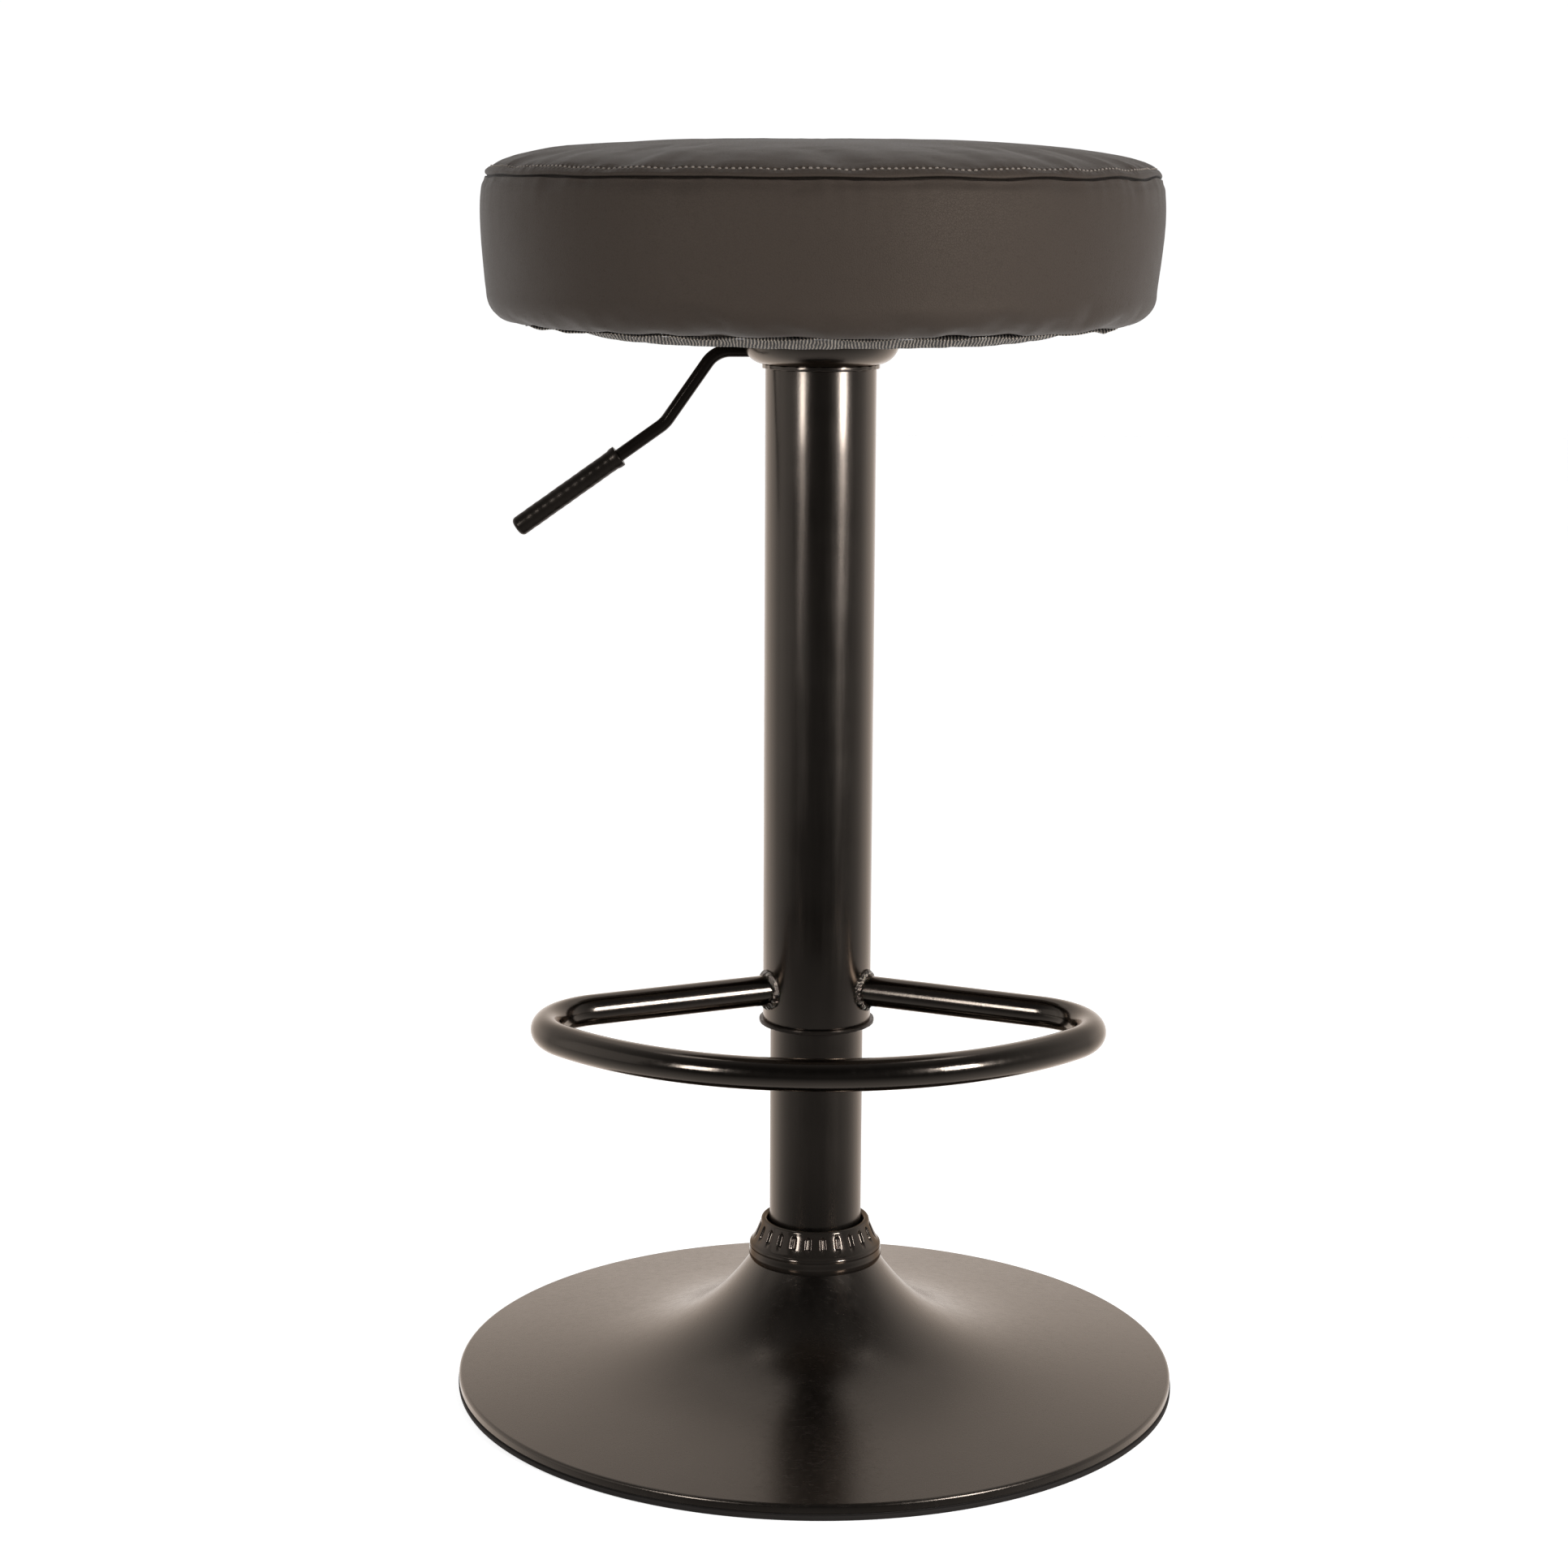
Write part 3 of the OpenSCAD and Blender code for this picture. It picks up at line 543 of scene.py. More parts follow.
nodeFinish = {
    darkSteel: ["mount_plate", "lever_bracket", "hub_socket"],
    zinc: ["ballast_bolts", "tube_end_plate", "rod_clip", "pivot_pin", "mount_bolts", "mount_washers",
           "tee_nuts", "taper_socket", "piston"],
    polished: ["piston_rod", "bearing_lower_race", "bearing_upper_race", "bearing_balls", "release_pin"],
    iron: ["ballast_plate"],
    leverBlack: ["gas_cylinder"],
    rubber: ["piston_seal", "bottom_buffer"],
    bushBlack: ["guide_bush", "bearing_cage", "cylinder_gland"],
    ply: ["seat_board"],
    foam: ["seat_foam"],
}
for finish, names in nodeFinish.items():
    for nodeName in names:
        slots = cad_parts[nodeName].data.materials
        slots.clear()
        slots.append(finish)


# ---- base ----

base = dict(neckR=33.0, shellR=192.0, rim=8.0, cone=17.0, neck=45.0, power=5.2, sheet=1.2, edge=3.4,
            lip=1.8, segments=288)


def flareZ(r):
    t = (base["shellR"] - r) / (base["shellR"] - base["neckR"])
    return base["rim"] + base["cone"] * t + base["neck"] * t ** base["power"]


def makeBase():
    last = base["shellR"] - base["lip"]
    spread = base["neckR"] + (last - base["neckR"]) * np.linspace(0, 1, 96) ** 1.7
    top = [(r, flareZ(r)) for r in spread]
    lip = arc(last, flareZ(last) - base["lip"], base["lip"], base["lip"], 78, 0, 8)
    inner = base["shellR"] - base["sheet"]
    under = []
    for k in np.linspace(1, 0, 30):
        r = base["neckR"] + (base["shellR"] - 3 - base["neckR"]) * k ** 1.7
        under.append((r - base["sheet"] * (1 - 0.8 * k), flareZ(r) - base["sheet"]))
    outline = top + lip + [(base["shellR"], base["edge"] + 0.3), (base["shellR"] - 0.3, base["edge"]),
                           (inner, base["edge"]), (inner, base["rim"] - 2.6)] + under
    return turned("baseShell", outline[::-1], base["segments"], baseBrown)


ring = dict(inner=184.0, outer=192.5, thick=3.0, edge=0.4, bead=2.6, waist=1.3, ledge=3.4, keyOut=190.75,
            keyIn=188.55, keyTop=4.8, waver=0.12)


# The rubber ring: a round bead at its foot and a key that stands inside the shell's rim
def makeRing():
    outer, edge, waist = ring["outer"], ring["edge"], ring["outer"] - ring["waist"]
    outline = [(ring["inner"], 0), (outer - edge, 0), (outer, edge), (outer, ring["bead"] - edge),
               (outer - edge, ring["bead"]), (waist, ring["bead"] + 0.2), (waist, ring["ledge"]),
               (ring["keyOut"], ring["ledge"]), (ring["keyOut"], ring["keyTop"]),
               (ring["keyIn"], ring["keyTop"]), (ring["keyIn"], ring["thick"]),
               (ring["inner"], ring["thick"])]
    def waver(radius, height, turn):
        return radius + ring["waver"] * ripple(turn, 3, 11, 4) * (height > 0.2), height
    return turned("rimRing", softCorners(outline, 0.25, 2), 240, rubber, 40, waver)


collar = dict(foot=67.0, lowR=35.3, mouth=25.3, seatR=33.1, recesses=24, long=7.9, wide=3.2, deep=1.3,
              recessAt=(4.6, 16.4), slopeIn=3.3, slopeUp=13.2, slopeRun=2.8, slopeRise=6.8, perRecess=26)


# The collar round the neck: a skirt, a round shoulder, and a slope with a ring of recesses
def makeCollar():
    foot = collar["foot"]
    low = collar["lowR"]
    run, climb = collar["slopeRun"], collar["slopeRise"]
    seatLine = [(r, flareZ(r) + 0.1) for r in np.linspace(collar["seatR"], low, 5)]
    slope = [(low - collar["slopeIn"] - run * t, foot + collar["slopeUp"] + climb * t)
             for t in np.linspace(0, 1, 30)]
    skirt = softCorners([(low - 0.7, foot + 0.2), (low - 0.1, foot + 1.0), (low + 0.3, foot + 2.6),
                         (low + 0.1, foot + 5.0)], 1.2, 3, False)
    outline = (seatLine[:-1] + skirt + arc(low - 2.2, foot + 7.8, 2.1, 1.9, -15, 60, 12)
               + [(low - 1.9, foot + 10.6), (low - 2.6, foot + 11.9)] + slope
               + arc(low - 7.9, foot + 21, 1.6, 1.6, 15, 120, 10)
               + [(collar["mouth"] + 0.3, foot + 21.3), (collar["mouth"], foot + 20.6),
                  (collar["mouth"], foot + 4), (collar["seatR"], foot + 4)])
    middle = np.array([low - collar["recessAt"][0], foot + collar["recessAt"][1]])
    tilt = np.array([-run, climb]) / math.hypot(run, climb)
    outward = np.array([tilt[1], -tilt[0]])
    def dent(radius, height, turn):
        up = (radius - middle[0]) * tilt[0] + (height - middle[1]) * tilt[1]
        off = (radius - middle[0]) * outward[0] + (height - middle[1]) * outward[1]
        step = 2 * math.pi / collar["recesses"]
        around = (turn % step - step / 2) * middle[0]
        half = collar["wide"] / 2
        past = np.maximum(np.abs(up) - (collar["long"] / 2 - half), 0)
        depth = np.clip((half - np.hypot(past, around)) / half, 0, 1)
        depth = (1 - (1 - depth) ** 2) * collar["deep"] * (np.abs(off) < 1.2)
        return radius - depth * outward[0], height - depth * outward[1]
    return turned("baseCollar", outline, collar["recesses"] * collar["perRecess"], collarBlack, 50, dent)


standing = dict(inner=23.0, outer=24.5, low=14.0, high=397.3)
column = dict(inner=27.0, outer=28.5, low=200.3, high=543.3)


# A tube with its edges broken, and a few rings of points along its outside
def makeTube(name, size, segments, material):
    inner, outer, low, high = size["inner"], size["outer"], size["low"], size["high"]
    outline = [(inner, low), (outer, low)] + [(outer, z) for z in np.linspace(low, high, 9)[1:-1]]
    outline += [(outer, high), (inner, high)]
    return turned(name, softCorners(outline, 0.35, 3), segments, material)


settle(makeBase(), "base", "frame_satin_brown", "base_shell")
settle(makeRing(), "base", "black_rubber", "rim_ring")
settle(makeCollar(), "base", "collar_gloss_black", "base_collar")
settle(makeTube("standingTube", standing, 160, standingBrown), "base", "frame_satin_brown", "standing_tube")
print("base made")


# ---- column ----

# The flange of each is beyond the tube's end, and the rest is inside the tube
bush = dict(bore=24.55, body=26.95, flange=30.5, out=198.3, tubeEnd=column["low"], inside=240.3,
            edge=0.55, nick=0.5, seed=21)
cap = dict(bore=14.05, body=26.95, flange=30.1, out=545.5, tubeEnd=column["high"], inside=528.3,
           edge=0.45, nick=1.0, seed=31)


# A flanged ring with small nicks along the flange's edge
def makeFlanged(name, size, material):
    outline = [(size["bore"], size["out"]), (size["flange"], size["out"]),
               (size["flange"], size["tubeEnd"]), (size["body"], size["tubeEnd"]),
               (size["body"], size["inside"]), (size["bore"], size["inside"])]
    if size["out"] > size["inside"]:
        outline.reverse()  # keeps it anticlockwise
    def nibble(r, z, turn):
        edge = (r > r.max() - 0.9) * size["nick"]
        ups = ripple(turn, 12, 60, size["seed"] + 1)
        return r + edge * 0.12 * ripple(turn, 9, 40, size["seed"]), z + edge * 0.2 * ups
    return turned(name, softCorners(outline, size["edge"], 4), 160, material, 40, nibble)


settle(makeTube("outerTube", column, 176, frameBrown), "seat", "frame_satin_brown", "outer_tube")
settle(makeFlanged("slideBush", bush, bushBlack), "seat", "bush_black_plastic", "slide_bush")
settle(makeFlanged("topCap", cap, frameBrown), "seat", "bush_black_plastic", "top_cap")

bell = dict(foot=29.0, low=545.5, high=565.3, outer=41.1, wall=1.4, round=13.0, bore=18.55, inset=0.6,
            slot=4.6, slotLow=547.65, slotHigh=556.95, slotRound=0.9)


# The cup over the lever's hinge, with a slot in its left side for the lever
def makeBell():
    middle = bell["low"] + bell["round"]
    reach = bell["outer"] - bell["foot"] - bell["inset"]
    outer = arc(bell["foot"], middle, reach, bell["round"], -90, 0, 22)
    inner = arc(bell["foot"], middle, reach - bell["wall"], bell["round"] - bell["wall"], 0, -90, 16)
    outline = ([(bell["bore"], bell["low"])] + outer + [(bell["outer"], bell["high"] - 0.3),
               (bell["outer"] - 0.3, bell["high"]), (bell["outer"] - bell["wall"], bell["high"])]
               + inner + [(bell["bore"], bell["low"] + bell["wall"])])
    piece = turned("bellCover", outline, 192, frameBrown)
    cutter = bpy.data.meshes.new("slotCutter")
    work = bmesh.new()
    bmesh.ops.create_cube(work, size=1)
    bmesh.ops.scale(work, vec=(24 * mm, 2 * bell["slot"] * mm, (bell["slotHigh"] - bell["slotLow"]) * mm),
                    verts=work.verts)
    bmesh.ops.translate(work, vec=(-40 * mm, 0, (bell["slotHigh"] + bell["slotLow"]) / 2 * mm),
                        verts=work.verts)
    bmesh.ops.bevel(work, geom=work.edges, offset=bell["slotRound"] * mm, segments=3, affect="EDGES")
    work.to_mesh(cutter)
    work.free()
    tool = linked("slotCutter", cutter)
    cut = piece.modifiers.new("slot", "BOOLEAN")
    cut.object = tool
    cut.solver = "EXACT"
    done = baked(piece, "bellCover")
    bpy.data.objects.remove(tool)
    return creased(done, 35)


settle(makeBell(), "seat", "frame_satin_brown", "bell_cover")
print("column made")


# ---- footrest ----

bar = dict(z=218.0, radius=8.0, reach=170.0, corner=38.0, sweep=24.7, start=27.3, sides=40)


# Two straight legs and a round front, with an arc between each leg and the front
def barPath():
    away = bar["reach"] - bar["corner"]
    turn = math.degrees(math.asin(bar["corner"] / away))
    legLength = away * math.cos(math.radians(turn))
    start = bar["sweep"] + turn
    corner = (away * math.cos(math.radians(start)), -away * math.sin(math.radians(start)))
    way = math.radians(bar["sweep"])
    leg = [(d * math.cos(way), -d * math.sin(way)) for d in np.linspace(bar["start"], legLength - 2, 14)]
    half = leg + arc(corner[0], corner[1], bar["corner"], bar["corner"], 90 - bar["sweep"], -start, 30)
    half += [(bar["reach"] * math.cos(w), bar["reach"] * math.sin(w))
             for w in np.radians(np.linspace(-start, -90, 26)[1:])]
    whole = half + [(-x, y) for x, y in half[-2::-1]]
    return [(x, y, bar["z"]) for x, y in whole]


footrestBar = swept("footrestBar", barPath(), bar["radius"], bar["sides"], footBrown)

weld = dict(radius=2.0, pitch=2.4, out=0.6, ripple=0.4, wander=0.5, sink=0.3, steps=360, sides=14)


# A rippled bead where a leg runs into the tube, laid in overlapping scales
def makeWeld(side):
    turn = aroundTurn(weld["steps"])
    ringR = bar["radius"] + weld["out"]
    beads = round(2 * math.pi * ringR / weld["pitch"])
    phase = turn / (2 * math.pi) * beads
    rng = np.random.default_rng(60 + side)
    push = rng.uniform(-0.45, 0.6, beads)[np.floor(phase).astype(int) % beads]
    saw = 1 - (phase % 1)
    spread = ringR + weld["wander"] * push
    across = spread * np.cos(turn)
    rise = spread * np.sin(turn)
    out = np.sqrt((column["outer"] + weld["sink"]) ** 2 - across ** 2)
    way = math.radians(-bar["sweep"])
    x = out * math.cos(way) - across * math.sin(way)
    y = out * math.sin(way) + across * math.cos(way)
    path = np.stack([side * x, y, bar["z"] + rise], 1)
    size = weld["radius"] * (1 + weld["ripple"] * (saw - 0.55) + 0.1 * push)
    return swept("weld", path, size, weld["sides"], weldMetal, True, (0.35, 0.2, 1), 40)


footrestWelds = joined("footrestWelds", [makeWeld(1), makeWeld(-1)])
settle(footrestBar, "seat", "frame_satin_brown", "footrest_bar")
settle(footrestWelds, "seat", "frame_satin_brown", "footrest_welds")
print("footrest made")


# ---- lever ----

lever = dict(radius=3.15, pivot=(-29.0, 551.8), run=24.9, drop=(26.1, 37.1), sweep=(23.5, 16.7),
             bend=14.0, ease=18.0, hook=4.0, tongueX=4.0, thick=0.22, thickFrom=16.0, thickOver=8.0,
             bossR=4.2, bossW=8.6, bore=1.55, grip=65.0, gripWall=2.05, plug=5.0)


# The rod from its tongue over the valve pin, down past the hinge, out level, down and into the grip
def makeLever():
    px, pz = lever["pivot"]
    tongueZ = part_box("lever_rod")[1].z / mm - lever["radius"]
    knee = np.array([px - lever["run"], pz])
    elbow = knee - lever["drop"]
    gripStart = elbow - lever["sweep"]
    turn1 = math.degrees(math.atan2(lever["drop"][1], lever["drop"][0]))
    turn2 = turn1 - math.degrees(math.atan2(lever["sweep"][1], lever["sweep"][0]))
    slope = np.array(lever["drop"]) / np.linalg.norm(lever["drop"])
    bendIn = knee + [lever["bend"] * math.tan(math.radians(turn1 / 2)), 0]
    turnIn = elbow + slope * lever["ease"] * math.tan(math.radians(turn2 / 2))
    centre = turnIn + np.array([-slope[1], slope[0]]) * lever["ease"]
    way = np.array(lever["sweep"]) / np.linalg.norm(lever["sweep"])
    hook = lever["hook"]
    tongue = [(lever["tongueX"], tongueZ), (px + hook + 2, tongueZ)]
    riser = arc(px + hook, tongueZ - hook, hook, hook, 90, 180, 8)[1:] + [(px, pz + hook + 2)]
    foot = arc(px - hook, pz + hook, hook, hook, 0, -90, 8)[1:]
    arm = arc(bendIn[0], bendIn[1] - lever["bend"], lever["bend"], lever["bend"], 90, 90 + turn1, 14)
    arm += arc(centre[0], centre[1], lever["ease"], lever["ease"], turn1 - 90, turn1 - 90 - turn2, 10)
    path = tongue + riser + foot + arm + [tuple(gripStart - way * (lever["grip"] - lever["plug"] - 1))]
    thicker = [min(max((px - lever["thickFrom"] - x) / lever["thickOver"], 0), 1) for x, z in path]
    radii = [lever["radius"] + lever["thick"] * share for share in thicker]
    rod = swept("leverRod", [(x, 0, z) for x, z in path], radii, 32, leverBlack, False, (0, 1, 0))
    half = lever["bossW"] / 2
    bossLine = [(lever["bore"], -half), (lever["bossR"], -half), (lever["bossR"], half),
                (lever["bore"], half)]
    boss = turned("boss", softCorners(bossLine, 0.4, 3), 48, leverBlack)
    boss.data.transform(Matrix.Translation((px * mm, 0, pz * mm)) @ Matrix.Rotation(math.pi / 2, 4, "X"))
    whole = joined("leverRod", [rod, boss])
    return whole, gripStart, way


# Dipped vinyl sleeve: a rolled mouth, faint rings and a rounded end
def makeGrip(start, way):
    r = lever["radius"] + lever["gripWall"]
    long = lever["grip"]
    tip = 2.4
    sleeve = []
    for z in np.linspace(5, long - tip - 3, 110):
        wave = 0.05 * math.sin(z * 1.3) + 0.03 * math.sin(z * 0.37 + 1)
        sleeve.append((r + wave, z))
    mouth = softCorners([(lever["radius"] + 0.05, 0), (r + 0.5, 0), (r + 0.5, 2.5), (r, 4.4)], 0.5, 4, False)
    end = arc(r - tip, long - tip, tip, tip, 0, 90, 12)
    bottom = long - lever["plug"] + 0.1
    outline = mouth + sleeve + end + [(0, long), (0, bottom), (lever["radius"] + 0.05, bottom)]
    piece = turned("leverGrip", outline, 64, gripBlack, 50)
    axis = Vector((-way[0], 0, -way[1]))
    piece.data.transform(Matrix.Translation((start[0] * mm, 0, start[1] * mm))
                         @ axis.to_track_quat("Z", "Y").to_matrix().to_4x4())
    return piece


leverRod, gripStart, gripWay = makeLever()
settle(leverRod, "lever", "black_painted_steel", "lever_rod")
settle(makeGrip(gripStart, gripWay), "lever", "grip_black_vinyl", "lever_grip")
print("lever made")


# ---- cushion ----

cushion = dict(segments=512, simSegments=96, frames=20, pressure=4.0, cap=6.0, follow=0.5,
               simSkin=1.2, simJitter=0.25, reach=0.9, lowest=-0.9, highest=1.3, sway=0.8, proud=0.2,
               puckers=0.2, gathers=0.2, crownGathers=0.22, hemGathers=0.13, swell=0.32)

# Rounds and grooves along the seam: height, place below the seam, and half width
seamShape = dict(groove=(-0.85, 0.0, 0.42), lip=(0.75, -1.7, 1.5), tuck=(-0.55, 2.6, 2.2),
                 ridge=(0.28, -4.0, 1.1), stitchRow=(-0.34, -5.5, 0.65))


# Points spaced along a fine line by a rule that gives the step at each length
def spaced(line, rule):
    along = lengthAlong(line)
    at = [0.0]
    while at[-1] < along[-1]:
        at.append(at[-1] + rule(at[-1]))
    at = np.array(at) * along[-1] / at[-1]
    return np.stack([np.interp(at, along, line[:, 0]), np.interp(at, along, line[:, 1])], 1), at


# Along a line and out from it, at each of its points
def waysOf(line):
    tangent = np.gradient(line, axis=0)
    tangent /= np.linalg.norm(tangent, axis=1)[:, None]
    normal = np.stack([-tangent[:, 1], tangent[:, 0]], 1)
    return tangent, normal * np.sign(normal[len(line) // 2, 0])


# The puffed shape of a coarse closed copy, as movement along the normal less its mean round the seat
def puffed(line, along):
    segments = cushion["simSegments"]
    rows = len(line)
    turn = aroundTurn(segments)
    normal = waysOf(line)[1]
    inset = line - normal * cushion["simSkin"]
    inset[:, 0] = np.maximum(inset[:, 0], 0)
    points = []
    for i in range(rows):
        jitter = cushion["simJitter"] * ripple(turn, 5, 40, 100 + i)
        radius = inset[i, 0] + normal[i, 0] * jitter * (inset[i, 0] > 5)
        points.append(spun(radius, inset[i, 1] + normal[i, 1] * jitter, turn))
    flat = np.concatenate(points) * mm
    faces = ringFaces(rows, segments, False, True)
    under = len(flat)
    flat = np.vstack([flat, [[0, 0, inset[-1, 1] * mm]]])
    for k in range(segments):
        faces.append(((rows - 1) * segments + k, under, (rows - 1) * segments + (k + 1) % segments))
    piece = meshObject("puff", flat, faces)
    held = piece.vertex_groups.new(name="held")
    seamRow = int(np.argmin(np.abs(along - seamAt)))
    for i in range(rows):
        if i in (0, seamRow) or i >= rows - 2:
            held.add([i * segments + k for k in range(segments)], 1.0, "REPLACE")
    held.add([under], 1.0, "REPLACE")
    cloth = piece.modifiers.new("puff", "CLOTH")
    cloth.settings.quality = 6
    cloth.settings.mass = 0.3
    cloth.settings.tension_stiffness = 12
    cloth.settings.compression_stiffness = 12
    cloth.settings.shear_stiffness = 4
    cloth.settings.bending_stiffness = 0.3
    cloth.settings.shrink_min = -0.012
    cloth.settings.use_pressure = True
    cloth.settings.uniform_pressure_force = cushion["pressure"]
    cloth.settings.vertex_group_mass = "held"
    cloth.settings.effector_weights.gravity = 0
    cloth.collision_settings.use_collision = False
    cloth.point_cache.frame_start = 1
    cloth.point_cache.frame_end = cushion["frames"]
    for step in range(1, cushion["frames"] + 1):
        bpy.context.scene.frame_set(step)
    look = piece.evaluated_get(bpy.context.evaluated_depsgraph_get())
    after = np.zeros(len(flat) * 3, np.float32)
    look.data.vertices.foreach_get("co", after)
    moved = (after.reshape(-1, 3)[:under] - flat[:under]) / mm
    bpy.data.objects.remove(piece)
    bpy.context.scene.frame_set(1)
    moved = moved.reshape(rows, segments, 3)
    outward = spun(normal[:, :1], np.repeat(normal[:, 1:], segments, 1), turn)
    lift = (moved * outward).sum(2)
    print("puffed, mean lift", round(float(lift.mean()), 2), "mm, spread",
          round(float(np.abs(lift - lift.mean(1)[:, None]).max()), 2), "mm")
    lift = np.clip(lift, -cushion["cap"], cushion["cap"])
    return lift - lift.mean(1)[:, None]


# The simulated lift at each point of the fine mesh
def liftAt(whole, along):
    coarse, coarseAt = spaced(whole, lambda at: 6.0 if at < 120 else 3.5)
    lift = puffed(coarse, coarseAt)
    lift = np.hstack([lift, lift[:, :1]])
    columns = np.arange(cushion["segments"]) * cushion["simSegments"] / cushion["segments"]
    left = np.floor(columns).astype(int)
    part = (columns - left)[None, :]
    rowAt = np.interp(along, coarseAt, np.arange(len(coarseAt)))
    low = np.minimum(np.floor(rowAt).astype(int), len(coarseAt) - 2)
    mix = (rowAt - low)[:, None]
    upper = lift[low][:, left] * (1 - part) + lift[low][:, left + 1] * part
    lower = lift[low + 1][:, left] * (1 - part) + lift[low + 1][:, left + 1] * part
    return (upper * (1 - mix) + lower * mix) * cushion["follow"]


def makeCushion():
    outline = np.concatenate([crownFine, sideLine(900)])
    hem = np.array([[seat["lowR"] + (seat["hemR"] - seat["lowR"]) * t, seat["underZ"]] for t in
                    np.linspace(0, 1, 60)[1:]])
    whole = np.concatenate([outline, hem])
    cornerAt = lengthAlong(outline)[-1] - 12
    def rule(s):
        near = abs(s - (seamAt - 2.5))
        if abs(s - seamAt) < 1.4:
            return 0.2
        if near < 6:
            return 0.42
        if near < 12:
            return 0.9
        if s < 60:
            return 5.0
        if s < seamAt:
            return 2.6
        return 1.9 if s < cornerAt + 14 else 4.0
    line, along = spaced(whole, rule)
    rows = len(line)
    segments = cushion["segments"]
    turn = aroundTurn(segments)
    grid = np.tile(turn, (rows, 1))
    s = np.repeat(along[:, None], segments, 1)
    tangent, normal = waysOf(line)
    sway = cushion["sway"] * ripple(turn, 8, 20, 11)[None, :] * np.exp(-((s - seamAt) / 9) ** 2)
    down = s - seamAt  # below the seam is positive
    rise = np.zeros_like(s)
    for tall, at, half in seamShape.values():
        rise += tall * np.exp(-((down - at) / half) ** 2)
    rise += cushion["puckers"] * ripple(grid, 70, 150, 12) * np.exp(-((down + 4.2) / 3.0) ** 2)
    fade = np.exp(-np.maximum(down - 1.0, 0) / 8.5) * (down > 0.6)
    rise += cushion["gathers"] * ripple(grid, 55, 125, 13) * fade
    fadeUp = np.exp(-np.maximum(-down - 6.2, 0) / 7.0) * (down < -6.2)
    rise += cushion["crownGathers"] * ripple(grid, 40, 100, 14) * fadeUp
    rise += cushion["hemGathers"] * ripple(grid, 24, 95, 15, 22) * np.exp(-((s - cornerAt - 5) / 8) ** 2)
    broad = cushion["swell"] * np.clip(s / 60, 0, 1)
    rise += broad * (ripple(grid, 3, 9, 16) * np.cos(s / 21) + ripple(grid, 4, 11, 17) * np.sin(s / 17))
    rise += np.clip(liftAt(whole, along), -cushion["reach"], cushion["reach"])
    rise *= np.clip((rows - 1 - np.arange(rows)) / 6, 0, 1)[:, None]  # none at the hem's inner edge
    rise = np.clip(rise, cushion["lowest"], cushion["highest"])
    rise[0] = 0
    radius = line[:, :1] + normal[:, :1] * rise + tangent[:, :1] * sway
    height = line[:, 1:] + normal[:, 1:] * rise + tangent[:, 1:] * sway
    outer = spun(radius, height, turn)
    # inner face of the cover, coarser down its length
    pick = np.unique(np.linspace(0, rows - 1, 26).astype(int))[::-1]
    innerR = np.maximum(radius[pick] - normal[pick, :1] * seat["cover"], 0)
    innerZ = height[pick] - normal[pick, 1:] * seat["cover"]
    innerR[-1] = 0
    points = np.concatenate([outer, spun(innerR, innerZ, turn)]).reshape(-1, 3) * mm
    wayDown = np.concatenate([along, along[pick]]) * mm
    stitches = round(2 * math.pi * seat["seamR"] / seat["pitch"])
    size = stitches * seat["pitch"] / segments * mm
    uv = []
    for a, b in zip(wayDown[:-1], wayDown[1:]):
        for k in range(segments):
            uv += [(k * size, a), (k * size, b), ((k + 1) * size, b), ((k + 1) * size, a)]
    faces = ringFaces(len(wayDown), segments, False, True)
    piece = meshObject("seatCover", points, faces, uv, seatLeather)
    cleaned(piece)
    piece.data.shade_smooth()
    row = np.interp(stitchAt, along, np.arange(rows))
    low = int(row)
    ring = outer[low] * (1 - row + low) + outer[low + 1] * (row - low)
    across = np.cross(np.roll(ring, -1, 0) - np.roll(ring, 1, 0), outer[low + 1] - outer[low])
    ring -= across / np.linalg.norm(across, axis=1)[:, None] * cushion["proud"]
    return piece, ring * mm, stitches


seatCover, stitchLine, stitchCount = makeCushion()
settle(seatCover, "seat", "faux_leather_taupe", "cover_top", "cover_side")
print("cushion made,", len(seatCover.data.polygons), "faces")


# ---- Geometry Nodes helpers ----

def newTree(name, sockets):
    tree = bpy.data.node_groups.new(name, "GeometryNodeTree")
    tree.interface.new_socket("Geometry", in_out="INPUT", socket_type="NodeSocketGeometry")
    for label, kind, value in sockets:
        socket = tree.interface.new_socket(label, in_out="INPUT", socket_type=kind)
        if value is not None:
            socket.default_value = value
    tree.interface.new_socket("Geometry", in_out="OUTPUT", socket_type="NodeSocketGeometry")
    return tree, put(tree, "NodeGroupInput"), put(tree, "NodeGroupOutput")


def setInputs(modifier, values):
    for item in modifier.node_group.interface.items_tree:
        if getattr(item, "in_out", "") == "INPUT" and item.name in values:
            modifier[item.identifier] = values[item.name]


# One curve object with a run of straight steps through each list of points
def curveFrom(name, runs, cyclic):
    data = bpy.data.curves.new(name, "CURVE")
    data.dimensions = "3D"
    for points in runs:
        spline = data.splines.new("POLY")
        spline.points.add(len(points) - 1)
        for dot, at in zip(spline.points, points):
            dot.co = (*at, 1)
        spline.use_cyclic_u = cyclic
    return linked(name, data)


# A plain mesh made from a curve by a node tree
def grown(name, curve, tree, values):
    modifier = curve.modifiers.new(name, "NODES")
    modifier.node_group = tree
    setInputs(modifier, values)
    piece = baked(curve, name)
    piece.data.shade_smooth()
    return piece


# In metres
stitch = dict(long=0.0018, thread=0.00105, least=(0.85, 0.85, 0.86), most=(1.1, 1.1, 1.08), seed=7)


